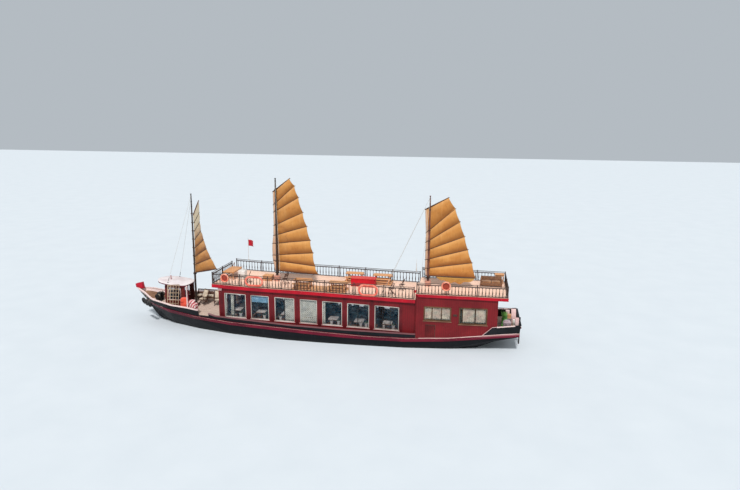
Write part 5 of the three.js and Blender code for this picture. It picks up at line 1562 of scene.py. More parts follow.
@dataclass(frozen=True)
class Rigging:
    """Stays, the flagpole with its flag, and the aerial."""

    stays: tuple[tuple[str, Point, Point], ...] = (
        ("fore_stay", (9.93, 0.05, 10.02), (11.75, 0.95, 3.33)),
        ("fore_stay_starboard", (9.93, -0.05, 10.02), (11.75, -0.95, 3.33)),
        ("main_stay", (3.15, 0.055, 11.3), (2.2, 2.05, 3.73)),
        ("mizzen_stay", (-8.37, 0.05, 10.35), (-7.9, 1.85, 3.99)),
        ("mizzen_stay_starboard", (-8.37, -0.05, 10.6), (-8.0, -2.0, 3.99)),
        ("main_stay_starboard", (3.15, -0.055, 11.56), (3.6, -2.05, 3.735)),
        ("mizzen_forestay", (-8.37, 0.05, 10.5), (-5.2, 1.9, 3.61)),
        ("mizzen_forestay_starboard", (-8.37, -0.05, 10.5), (-5.2, -1.9, 3.61)),
    )
    stay_radius: float = 0.009
    rail_y: float = -2.295
    flagpole_x: float = 6.35
    flagpole: Pairs = (
        (0.0, 4.66), (0.03, 4.66), (0.03, 4.76), (0.017, 4.8), (0.014, 6.4), (0.026, 6.42),
        (0.022, 6.45), (0.0, 6.46))
    aerial_x: float = -7.3
    aerial: Pairs = (
        (0.0, 4.44), (0.05, 4.44), (0.05, 4.66), (0.026, 4.7), (0.024, 5.05), (0.011, 5.1),
        (0.008, 5.43), (0.0, 5.45))
    flag_z: float = 5.86
    flag_fly: float = 0.42
    flag_hoist: float = 0.5

    def build(self) -> None:
        """Makes the stays with their fittings, then the poles and the flag."""
        ends = Shape()
        for name, top, foot in self.stays:
            high, low = Vector(top), Vector(foot)
            tube_path(name, [high.lerp(low, k / 12) for k in range(13)], self.stay_radius, STAY)
            ends.torus(low + UP * 0.03, PORT, 0.028, 0.008, 16, 8)
            ends.block(low - Vector((0.04, 0.04, 0.0)), low + Vector((0.04, 0.04, 0.012)), 0.003)
            ends.bar(low.lerp(high, 0.02), low.lerp(high, 0.06), 0.018)
        ends.piece("stay_fittings", IRON)
        self._poles()
        self._flag()

    def _poles(self) -> None:
        """Makes the flagpole and the aerial on the starboard rail."""
        poles = Shape()
        for profile, x in ((self.flagpole, self.flagpole_x), (self.aerial, self.aerial_x)):
            poles.turned(profile, (x, self.rail_y, 0.0), steps=12)
        poles.piece("flagpole_and_aerial", STEEL)

    def _flag(self) -> None:
        """Makes the plain red flag."""

        def place(u: float, v: float) -> Vector:
            """Place on the flag: u away from the pole, v upward."""
            wave = 0.05 * math.sin(u * 7.0 + v * 1.5) * u ** 0.6
            return Vector((self.flagpole_x - 0.02 - self.flag_fly * u,
                           self.rail_y + wave + 0.02 * u,
                           self.flag_z + self.flag_hoist * v - 0.07 * u * u))

        cloth = Shape()
        cloth.cloth(20, 14, place)
        area = cloth.area()
        flag = thicken(cloth.piece("red_flag", FLAG), 0.003)
        max(0.5, area / 0.47)


# Cabins


@dataclass(frozen=True)
class Opening:
    """Window opening in a side wall: its ends, sill and head lines, and what fills it.

    Mullions and pots lie at shares of its length, and each two mullions have a pane between
    them. A curtain runs between two shares, down to a share of the height.
    """

    x0: float
    x1: float
    sill: Line
    head: Line
    mullions: tuple[float, ...] = ()
    curtains: tuple[tuple[float, float, float], ...] = ()
    pots: tuple[float, ...] = ()


@dataclass(frozen=True)
class SideWindows:
    """Frames, glass and curtains of one cabin, both sides alike."""

    name: str
    openings: tuple[Opening, ...]
    outer: Line
    foot: Line
    wood: Finish
    cloth: Finish
    bars: Finish
    ledge: Finish
    width: float = 0.06
    glass: Finish = GLASS

    def at(self, x: float, z: float, inward: float) -> Vector:
        """Place in the leaning wall, inward from its outer face."""
        low, high = deck_at(x), LINES.wall_z
        share = (high - z) / (high - low)
        top, foot = self.outer.at(x), self.foot.at(x)
        return Vector((x, top + (foot - top) * share - inward, z))

    def build(self) -> None:
        """Makes frames and glass for both sides, and each curtain."""
        frames, bars, glass, sills = Shape(), Shape(), Shape(), Shape()
        for opening in self.openings:
            self._frame(frames, bars, sills, opening)
            shares = (0.0, *opening.mullions, 1.0)
            for a, b in zip(shares, shares[1:]):
                self._pane(glass, opening, a, b)
        for shape, part, finish in ((frames, "frames", self.wood), (bars, "mullions", self.bars),
                                    (glass, "panes", self.glass), (sills, "sills", self.ledge)):
            shape.mirrored().piece(f"{self.name}_{part}", finish)
        for i, opening in enumerate(self.openings):
            for k, (a, b, low) in enumerate(opening.curtains):
                for side, word in ((1, "port"), (-1, "starboard")):
                    self._curtain(f"{self.name}_curtain_{i}_{k}_{word}", opening, a, b, low, side)

    def _corner(self, opening: Opening, share: float, v: float, inset: float,
                inward: float) -> Vector:
        """Place in an opening by shares, held in from its edges."""
        x = opening.x0 + (opening.x1 - opening.x0) * share
        x = min(max(x, opening.x0 + inset), opening.x1 - inset)
        low, high = opening.sill.at(x) + inset, opening.head.at(x) - inset
        return self.at(x, low + (high - low) * v, inward)

    def _frame(self, frames: Shape, bars: Shape, sills: Shape, opening: Opening) -> None:
        """Adds the four sides, the mullions and the sill of one opening."""
        half = self.width / 2
        corners = [self._corner(opening, s, v, half + 0.0005, 0.03)
                   for s, v in ((0, 0), (1, 0), (1, 1), (0, 1))]
        for a, b in zip(corners, corners[1:] + corners[:1]):
            frames.beam(a, b, 0.055, self.width, UP if abs(b.x - a.x) > 0.1 else AHEAD)
        for share in opening.mullions:
            a, b = (self._corner(opening, share, v, half, 0.03) for v in (0, 1))
            bars.beam(a, b, 0.045, 0.04, AHEAD)
        a, b = (self._corner(opening, s, 0, 0.0, -0.02) - UP * 0.02 for s in (0, 1))
        sills.beam(a - AHEAD * 0.05, b + AHEAD * 0.05, 0.05, 0.035)

    def _pane(self, glass: Shape, opening: Opening, a: float, b: float) -> None:
        """Adds one pane between two shares of an opening."""
        places = [self._corner(opening, s, v, self.width * 0.8, 0.034)
                  for s, v in ((a, 0), (b, 0), (b, 1), (a, 1))]
        glass.outline(places, (0.0, -0.006, 0.0))

    def _curtain(self, name: str, opening: Opening, a: float, b: float, low: float,
                 side: int) -> None:
        """Hangs one gathered curtain behind the glass, down to the share low of the height."""
        folds = max(3, round((b - a) * (opening.x1 - opening.x0) / 0.16))

        def place(u: float, v: float) -> Vector:
            """Place on the curtain."""
            flare = 1.0 - 0.35 * v
            wave = math.sin(2 * math.pi * folds * u + 0.6 * math.sin(v * 3.0 + u * 9.0))
            here = self._corner(opening, a + (b - a) * u, low + (1 - low) * v, 0.03,
                                0.1 + 0.028 * wave * flare)
            return Vector((here.x, here.y * side, here.z))

        cloth = Shape()
        cloth.cloth(folds * 8, 10, place)
        area = cloth.area()
        wide = (opening.x1 - opening.x0) * (b - a)
        piece = thicken(cloth.piece(name, BLIND if low > 0.5 else self.cloth), 0.002)
        wide * 1.3
        area / (wide * 1.3)


SALOON_WINDOWS = SideWindows("saloon_window", tuple(
    Opening(x0, x1, sloped(1.24, 0.014), sloped(3.03, 0.022), *rest) for x0, x1, *rest in (
        (-6.56, -4.8, (0.36, 0.68), (), (0.64, 0.24)),
        (-4.41, -2.8, (0.52,), (), (0.4, 0.15)),
        (-2.42, -0.95, (), ((0.86, 0.98, 0.0),), (0.56, 0.2)),
        (-0.56, 0.72, (), ((0.02, 0.98, 0.0),)),
        (1.15, 2.65, (0.5,), ((0.02, 0.49, 0.0),), (0.75,)),
        (3.1, 4.5, (), ((0.03, 0.97, 0.7),), (0.3,)),
        (4.88, 6.55, (0.55,), ((0.58, 0.72, 0.0), (0.93, 0.99, 0.0)), (0.3,)))),
    sloped(2.2), sloped(2.2), FRAME_WHITE, CURTAIN, IRON, PINK_WHITE, 0.05)

STERN_WINDOWS = SideWindows("stern_window", (
    Opening(-10.22, -8.31, sloped(2.1), sloped(3.12), (0.36, 0.7),
            ((0.02, 0.34, 0.07), (0.37, 0.68, 0.07), (0.72, 0.98, 0.07))),
    Opening(-12.69, -10.75, sloped(1.95), sloped(3.15), (0.42, 0.88),
            ((0.06, 0.4, 0.08), (0.45, 0.86, 0.08)))),
    Line(((-13.3, 2.11), (-7.78, 2.285))), LINES.stern_foot, OLIVE, CREAM_CURTAIN, OLIVE,
    SILL_BROWN, 0.085, CLEAR_GLASS)


@dataclass(frozen=True)
class Wheelhouse:
    """Roof, windows, lamp and steering wheel of the small house on the foredeck.

    The outline is the port half of its roof, from the open aft side round to the bow. The crown
    and the bead are rings of it: how far each is drawn in, and its height over the roof's edge.
    """

    outline: Pairs = (
        (10.25, 0.3), (10.28, 0.64), (10.45, 0.9), (10.9, 1.08), (11.5, 1.15), (12.1, 1.09),
        (12.6, 0.88), (12.88, 0.5), (13.02, 0.16))
    middle_x: float = 11.6
    aft_z: float = 3.187
    slope: float = 0.09
    crown: Pairs = (
        (0.97, -0.105), (0.995, -0.085), (1.0, -0.05), (0.985, -0.022), (0.93, -0.006),
        (0.7, 0.012), (0.35, 0.022), (0.05, 0.026))
    bead: Pairs = (
        (0.975, -0.102), (0.935, -0.102), (0.935, -0.15), (0.975, -0.15))
    prop: Pair = (10.335, 0.5)
    front_x: float = 12.07
    front_y: Pairs = ((-0.64, -0.03), (0.03, 0.64))
    front_z: Pair = (2.18, 2.87)
    side_x: Pair = (10.82, 11.83)
    side_y: float = 0.75
    side_z: Pair = (1.92, 2.88)
    frame_width: float = 0.055
    post_x: tuple[float, ...] = (10.515, 12.085)
    post_y: float = 0.775
    post_top: float = 3.03
    lamp_x: float = 12.0
    lamp_scale: float = 0.62
    wheel: Point = (11.64, 0.0, 2.32)
    wheel_radius: float = 0.295
    spokes: int = 6

    def top(self, x: float) -> float:
        """Height of the roof's edge."""
        return self.aft_z + self.slope * (x - self.outline[0][0])

    def build(self) -> None:
        """Makes the roof with its edging, the windows, the lamp and the wheel."""
        roof = Shape()
        roof.sweep([self._level(inset, lift) for inset, lift in self.crown])
        soften(roof.piece("wheelhouse_roof_shell", ROOF_WHITE, replaces=("wheelhouse_roof",),
                          smooth=60.0))
        self._edging()
        self._windows()
        self._lamp()
        self._wheel()

    def _level(self, inset: float, lift: float) -> list[Vector]:
        """Ring of the roof drawn in towards its middle."""
        ring = [*self.outline, *((x, -y) for x, y in reversed(self.outline))]
        centre = Vector((self.middle_x, 0.0))
        flat = [centre + (Vector(point) - centre) * inset for point in ring]
        return [Vector((p.x, p.y, self.top(p.x) + lift)) for p in flat]

    def _edging(self) -> None:
        """Makes the bead under the roof's edge, and the prop on the open aft side."""
        trim = Shape()
        rings = [self._level(inset, lift) for inset, lift in self.bead]
        sections = [list(corner) for corner in zip(*rings)]
        trim.sweep([*sections, sections[0]], caps=False)
        x, y = self.prop
        trim.bar((x, y, deck_at(x + 0.025) + 0.001), (x, y, self.top(x) - 0.08), 0.028)
        trim.piece("wheelhouse_roof_edging", WALE_RED)

    def _windows(self) -> None:
        """Makes the frames and glass of the front and side windows, and the corner posts."""
        frames, glass, posts = Shape(), Shape(), Shape()
        x, (low, high) = self.front_x, self.front_z
        for y0, y1 in self.front_y:
            corners = ((y0, low), (y1, low), (y1, high), (y0, high), (y0, low))
            for a, b in zip(corners, corners[1:]):
                frames.beam((x, *a), (x, *b), self.frame_width, 0.05, UP if a[1] == b[1] else PORT)
            glass.block((x - 0.004, y0, low), (x + 0.002, y1, high), 0.0)
        (x0, x1), (z0, z1), past = self.side_x, self.side_z, 0.02
        for side in (-1, 1):
            y = side * self.side_y
            for a, b, up in (((x0 - past, z0), (x1 + past, z0), UP),
                             ((x1, z0 - past), (x1, z1 + past), AHEAD),
                             ((x1 + past, z1), (x0 - past, z1), UP),
                             ((x0, z1 + past), (x0, z0 - past), AHEAD)):
                frames.beam((a[0], y, a[1]), (b[0], y, b[1]), self.frame_width, 0.04, up)
            glass.block((x0 + past, y - 0.003, z0 + past), (x1 - past, y + 0.003, z1 - past), 0.0)
            for x in self.post_x:
                y = side * self.post_y
                posts.block((x - 0.045, y - 0.03, deck_at(x + 0.05) + 0.002),
                            (x + 0.045, y + 0.03, self.post_top), 0.01)
        frames.piece("wheelhouse_frames", PINK_WHITE)
        glass.piece("wheelhouse_panes", GLASS)
        posts.piece("wheelhouse_corner_posts", MAROON_POST)

    def _lamp(self) -> None:
        """Makes the masthead lamp on its foot on the roof."""
        body, lens = Shape(), Shape()
        place, squash = (self.lamp_x, 0.0, self.top(self.lamp_x)), (self.lamp_scale,) * 3
        foot = ((0.0, 0.0), (0.11, 0.0), (0.11, 0.03), (0.04, 0.05), (0.035, 0.2), (0.09, 0.22),
                (0.09, 0.26), (0.075, 0.27))
        glass = ((0.0, 0.265), (0.07, 0.265), (0.082, 0.3), (0.082, 0.38), (0.07, 0.415),
                 (0.0, 0.415))
        cap = ((0.075, 0.41), (0.095, 0.42), (0.085, 0.46), (0.03, 0.5), (0.0, 0.505))
        for shape, profile in ((body, foot), (body, cap), (lens, glass)):
            shape.turned(profile, place, steps=20, squash=squash)
        body.piece("roof_lamp_body", RED_TRIM)
        lens.piece("roof_lamp_lens", WHITE)

    def _wheel(self) -> None:
        """Makes the spoked steering wheel on its shaft."""
        wheel = Shape()
        x, y, z = self.wheel
        hub = ((0.0, -0.035), (0.06, -0.035), (0.066, -0.01), (0.066, 0.01), (0.06, 0.035),
               (0.0, 0.035))
        spoke = ((0.014, 0.05), (0.018, 0.12), (0.012, 0.16), (0.017, 0.24), (0.013, 0.3),
                 (0.013, 0.33), (0.019, 0.36), (0.014, 0.405), (0.0, 0.41))
        wheel.torus(self.wheel, AHEAD, self.wheel_radius, 0.026, 40, 10, 0.8)
        wheel.turned(hub, self.wheel, AHEAD)
        wheel.bar((x - 0.03, y, z), (x + 0.25, y, z), 0.021)
        for k in range(self.spokes):
            angle = 2 * math.pi * k / self.spokes
            wheel.turned(spoke, self.wheel, Vector((0.0, math.cos(angle), math.sin(angle))), 8)
        wheel.piece("steering_wheel", CABIN_WOOD, "helm_body", ("helm_wheel",))


@dataclass(frozen=True)
class CabinTrim:
    """Mouldings, pilasters, vents, door and hatch fittings, quarter boards, table tops and pots.

    A distance called y is from the centreline and holds for both sides.
    """

    wale_parts: tuple[tuple[str, float, float, Finish], ...] = (
        ("wale_bead_aft", -14.75, -8.0, PINK_WHITE), ("wale_bead", -8.0, 12.0, WALE_RED))
    wale_step: float = 0.25
    band_y: float = 2.352
    band_front: float = 7.452
    band_drops: Pair = (0.02, 0.25)
    stern_band: Pairs = ((-7.7, 2.367), (-14.05, 2.202))
    stern_drops: Pair = (0.02, 0.2)
    bead_radius: float = 0.013
    pilasters: tuple[float, ...] = (-6.68, -4.605, -2.61, -0.755, 0.935, 2.875, 4.69, 6.775)
    pilaster_y: float = 2.207
    cap_y: float = 2.215
    vent_x: Pair = (-10.62, -10.36)
    vent_y: float = 2.262
    vent_z: float = 2.5
    hatch_x: Pair = (-9.135, -8.445)
    hatch_z: Pair = (0.915, 1.805)
    quarter_board: tuple[Point, ...] = (
        (-12.42, 2.222, 1.222), (-13.4, 2.142, 1.335), (-13.4, 2.17, 1.874), (-13.06, 2.199, 1.832))
    doors: tuple[tuple[str, float, float, int], ...] = (
        ("saloon_door", 1.13, 3.03, 1), ("stern_cabin_door", 1.32, 3.22, -1))
    pot_y: float = 2.0
    sill_y: float = 2.03
    table_y: Pair = (1.34, 2.085)
    table_z: float = 0.766
    plates: Pairs = ((-0.17, 1.55), (0.17, 1.6), (-0.15, 1.9), (0.18, 1.88))

    def build(self) -> None:
        """Makes every trim piece."""
        self._wale_beads()
        self._band_beads()
        self._posts()
        self._doors()
        self._pots()
        self._hatch_strips()
        self._quarter_boards()
        self._table_tops()

    def _wale_beads(self) -> None:
        """Makes the bead along the top of the wale, pale at the stern."""
        for name, start, end, finish in self.wale_parts:
            bead, sections = Shape(), []
            for k in range(round((end - start) / self.wale_step) + 1):
                x = start + k * self.wale_step
                y, z = LINES.deck_y.at(x) + 0.028, deck_at(x) + 0.004
                sections.append([Vector((x, y + 0.022 * math.cos(a), z + 0.02 * math.sin(a)))
                                 for a in (math.pi * i / 4 for i in range(8))])
            bead.sweep(sections)
            bead.mirrored().piece(name, finish)

    def _band_beads(self) -> None:
        """Makes the beads along the edges of the red bands of both roofs."""
        beads = Shape()
        rows = LINES.roof_z.rows
        for y in (self.band_y, -self.band_y):
            for (x0, z0), (x1, z1) in zip(rows, rows[1:]):
                for drop in self.band_drops:
                    self._bead(beads, (x0, y, z0 - drop), (x1, y, z1 - drop))
        for drop in self.band_drops:
            x, z = self.band_front, rows[-1][1] - drop
            self._bead(beads, (x, -2.35, z), (x, 2.35, z))
        (x0, y0), (x1, y1) = self.stern_band
        for drop in self.stern_drops:
            z = LINES.stern_z - drop
            for side in (1, -1):
                self._bead(beads, (x0, side * y0, z), (x1, side * y1, z))
            self._bead(beads, (x1 - 0.002, -2.2, z), (x1 - 0.002, 2.2, z))
        beads.piece("roof_band_beads", RED_TRIM)

    def _bead(self, shape: Shape, start: Point, end: Point) -> None:
        """Adds one thin bead."""
        shape.bar(start, end, self.bead_radius, sides=8)

    def _posts(self) -> None:
        """Makes the saloon's pilasters, the pale blocks at its front corners and the vents."""
        posts, caps, vent = Shape(), Shape(), Shape()
        x0, x1 = self.vent_x
        for side in (1, -1):
            y = side * self.pilaster_y
            for x in self.pilasters:
                posts.block((x - 0.11, y - 0.012, deck_at(x) + 0.02),
                            (x + 0.11, y + 0.012, roof_at(x) - 0.29), 0.006)
            y = side * self.cap_y
            caps.block((6.72, y - 0.035, 3.38), (7.03, y + 0.035, 3.53), 0.012)
            caps.block((6.75, y - 0.03, 3.34), (7.015, y + 0.03, 3.375), 0.01)
            y, z = side * self.vent_y, self.vent_z
            vent.block((x0, y - 0.03, z), (x1, y + 0.03, z + 0.14), 0.01)
            y = side * (self.vent_y + 0.015)
            for k in range(3):
                z = self.vent_z + 0.02 + 0.045 * k
                vent.beam((x0 - 0.02, y, z), (x1 + 0.02, y, z), 0.05, 0.012)
        vent.piece("cabin_vents", DARK_WOOD)
        posts.piece("saloon_pilasters", MAROON_POST)
        caps.piece("cabin_small_fittings", PINK_WHITE)

    def _doors(self) -> None:
        """Makes the raised panels and the knob of each door."""
        profile = ((0.0, 0.0), (0.028, 0.0), (0.02, 0.006), (0.01, 0.02), (0.024, 0.034),
                   (0.02, 0.05),
                   (0.0, 0.055))
        for name, foot, top, out in self.doors:
            panels, knob = Shape(), Shape()
            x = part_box(name)[1 if out > 0 else 0].x
            for z0, z1 in ((foot + 0.12, foot + 0.8), (foot + 0.95, top - 0.16)):
                for y0, y1 in ((-0.36, -0.03), (0.03, 0.36)):
                    panels.block((x - 0.004, y0, z0), (x + 0.004, y1, z1), 0.003)
            knob.turned(profile, (x, -0.37, foot + 0.92), AHEAD * out, 14)
            panels.piece(f"{name}_panels", DOOR_PANEL, f"{name}_body")
            knob.piece(f"{name}_knob", BRONZE, f"{name}_body")

    def _pots(self) -> None:
        """Makes the inner sills of the saloon, with flower pots and leaves on them."""
        pots, leaves, shelf = Shape(), Shape(), Shape()
        form = ((0.0, 0.0), (0.09, 0.0), (0.125, 0.26), (0.135, 0.26), (0.138, 0.3), (0.12, 0.3),
                (0.11, 0.25), (0.0, 0.24))
        for opening in SALOON_WINDOWS.openings:
            for share in opening.pots:
                x = opening.x0 + (opening.x1 - opening.x0) * share
                for side in (1, -1):
                    place = Vector((x, side * self.pot_y, opening.sill.at(x) + 0.006))
                    pots.turned(form, place, steps=14)
                    self._leaves(leaves, place)
            if opening.pots:
                x0, x1 = opening.x0, opening.x1
                for side in (1, -1):
                    y = side * self.sill_y
                    shelf.beam((x0 - 0.04, y, opening.sill.at(x0) - 0.01),
                               (x1 + 0.04, y, opening.sill.at(x1) - 0.01), 0.23, 0.03)
        pots.piece("flower_pots", WHITE)
        # The saloon's plants get the darker leaf green: painted shade.
        leaves.piece("pot_leaves", SHADED_LEAF)
        shelf.piece("inner_sills", CABIN_WOOD)

    @staticmethod
    def _leaves(shape: Shape, place: Vector) -> None:
        """Adds nine leaves that spread from a pot."""
        for k in range(9):
            out = Vector((math.cos(k * LEAF_TURN), math.sin(k * LEAF_TURN), 0.0))
            tip = place + Vector((0.11 * out.x, 0.09 * out.y, 0.38 + 0.05 * math.sin(k * 1.9)))
            shape.bar(place + out * 0.03 + UP * 0.24, tip, 0.008, 0.02, 6)

    def _hatch_strips(self) -> None:
        """Makes the raised strips round the side hatch, except along its hinges."""
        strips = Shape()
        (x0, x1), (z0, z1) = self.hatch_x, self.hatch_z
        for a, b, up in (((x0, z0), (x0, z1), AHEAD), ((x0, z1), (x1, z1), UP)):
            strips.beam(STERN_WINDOWS.at(*a, -0.006), STERN_WINDOWS.at(*b, -0.006), 0.02, 0.035, up)
        strips.piece("side_hatch_frame", DARK_WOOD)

    def _quarter_boards(self) -> None:
        """Makes the black boards that lead from the deck up to the stern bulwark."""
        board, edge = Shape(), Shape()
        board.outline(self.quarter_board, (0.0, -0.03, 0.0), 0.004)
        foot, _, aft, top = (Vector(p) + Vector((0.0, -0.015, 0.012)) for p in self.quarter_board)
        for a, b in ((foot, top), (top, aft)):
            edge.beam(a, b, 0.045, 0.026)
        board.mirrored().piece("quarter_boards", BLACK_PAINT)
        edge.mirrored().piece("quarter_board_edges", PINK_WHITE)

    def _table_tops(self) -> None:
        """Makes the white tops and the plates of the saloon's tables."""
        tops = Shape()
        plate = ((0.0, 0.0), (0.05, 0.0), (0.11, 0.022), (0.115, 0.028), (0.05, 0.008),
                 (0.0, 0.008))
        for opening in SALOON_WINDOWS.openings:
            x = (opening.x0 + opening.x1) / 2
            z = deck_at(x) + self.table_z
            for side in (1, -1):
                low, high = sorted(side * y for y in self.table_y)
                tops.block((x - 0.34, low, z), (x + 0.34, high, z + 0.018), 0.006)
                for u, y in self.plates:
                    tops.turned(plate, (x + u, side * y, z + 0.0185), steps=16)
        tops.piece("saloon_table_tops", WHITE)


# Deck furniture


def plank_top(shape: Shape, low: Sequence[float], high: Sequence[float], count: int,
              along_x: bool = True, gap: float = 0.006) -> None:
    """Adds a top made of boards laid side by side.

    Args:
        shape: Shape that gets the boards.
        low: Lowest corner.
        high: Highest corner.
        count: Number of boards.
        along_x: Whether the boards run along the boat.
        gap: Gap between two boards.
    """
    across = 1 if along_x else 0
    step = (high[across] - low[across]) / count
    for i in range(count):
        a, b = list(low), list(high)
        a[across] = low[across] + step * i + gap / 2
        b[across] = low[across] + step * (i + 1) - gap / 2
        shape.block(a, b, 0.005)


def cushion(name: str, low: Sequence[float], high: Sequence[float], finish: Finish,
            turn: Matrix | None = None) -> None:
    """Makes a crowned cushion with pulled-in sides and a dent where it is buttoned.

    Args:
        name: Name of the piece.
        low: Lowest corner.
        high: Highest corner of its middle.
        finish: Its cloth.
        turn: Matrix applied after it is shaped.
    """
    shape = Shape()
    low, high = Vector(low), Vector(high)
    size, middle = high - low, (high + low) / 2
    bmesh.ops.create_cube(shape.mesh, size=2.0)
    bmesh.ops.subdivide_edges(shape.mesh, edges=shape.mesh.edges[:], cuts=7, use_grid_fill=True)
    for vert in shape.mesh.verts:
        u, v, w = vert.co
        crown = (1 - u ** 4) * (1 - v ** 4)
        waist = 1 - 0.05 * (1 - w * w) - 0.035 * (1 - abs(u * v))
        corner = 1 - 0.06 * (u * u * v * v)
        rise = (0.55 + 0.45 * crown) if w > 0 else (0.85 + 0.15 * crown)
        dent = 1 - 0.1 * math.exp(-12 * (u * u + v * v)) if w > 0 else 1.0
        vert.co = Vector((u * waist * corner * size.x / 2, v * waist * corner * size.y / 2,
                          w * rise * dent * size.z / 2)) + middle
    if turn:
        bmesh.ops.transform(shape.mesh, matrix=turn, verts=shape.mesh.verts)
    piece = soften(shape.piece(name, finish, smooth=180.0))


def standing(x: float, y: float, z: float, turn: float) -> Matrix:
    """Matrix that stands a thing at a place, turned about the vertical."""
    return Matrix.Translation((x, y, z)) @ Matrix.Rotation(turn, 4, "Z")


@dataclass(frozen=True)
class TableSet:
    """Table between two benches on the saloon's roof: its side, middle and length."""

    side: str
    x: float
    y: float
    length: float
    half_width: float = 0.33
    bench_y: float = 0.56
    bench_half: float = 0.13
    leg_inset: float = 0.16

    def add(self, shape: Shape) -> None:
        """Adds the table with its crossed legs, then both benches."""
        x, y, z, half = self.x, self.y, roof_at(self.x) + 0.0205, self.length / 2
        end = half - self.leg_inset
        plank_top(shape, (x - half, y - self.half_width, z + 0.578),
                  (x + half, y + self.half_width, z + 0.62), 5)
        for u in (x - end, x + end):
            for lean in (-1, 1):
                foot, head = (u, y + lean * 0.26, z + 0.018), (u, y - lean * 0.2, z + 0.57)
                shape.beam(foot, head, 0.07, 0.045, AHEAD)
            shape.block((u - 0.03, y - 0.29, z + 0.535), (u + 0.03, y + 0.29, z + 0.58))
        shape.beam((x - end, y, z + 0.3), (x + end, y, z + 0.3), 0.035, 0.08)
        for y in (self.y - self.bench_y, self.y + self.bench_y):
            plank_top(shape, (x - half, y - self.bench_half, z + 0.37),
                      (x + half, y + self.bench_half, z + 0.41), 2)
            for u in (x - end, x + end):
                shape.block((u - 0.025, y - 0.1, z + 0.018), (u + 0.025, y + 0.1, z + 0.375))
            shape.beam((x - end, y, z + 0.2), (x + end, y, z + 0.2), 0.03, 0.06)


@dataclass(frozen=True)
class Table:
    """Table with a boarded top, an apron and four tapered legs."""

    name: str
    low: Pair
    high: Pair
    floor: Line
    height: float
    rail: float
    boards: int
    along_x: bool = True
    inset: float = 0.07

    def build(self) -> None:
        """Makes the top, then the legs with their rails."""
        (x0, y0), (x1, y1) = self.low, self.high
        z = self.floor.at((x0 + x1) / 2) + CLEARANCE
        under = z + self.height - 0.04
        top, legs = Shape(), Shape()
        plank_top(top, (x0, y0, under), (x1, y1, z + self.height), self.boards, self.along_x)
        top.piece(f"{self.name}_top", TABLE_WOOD)
        x0, y0, x1, y1 = x0 + self.inset, y0 + self.inset, x1 - self.inset, y1 - self.inset
        apron = z + self.rail - 0.06
        for x in (x0, x1):
            for y in (y0, y1):
                legs.bar((x, y, self.floor.at(x) + CLEARANCE), (x, y, under), 0.022, 0.034, 10)
            legs.beam((x, y0, apron), (x, y1, apron), 0.03, 0.09)
        for y in (y0, y1):
            legs.beam((x0, y, apron), (x1, y, apron), 0.03, 0.09)
            legs.beam((x0, y, z + 0.18), (x1, y, z + 0.18), 0.025, 0.04)
        legs.piece(f"{self.name}_frame", TAN_WOOD, replaces=(self.name,))


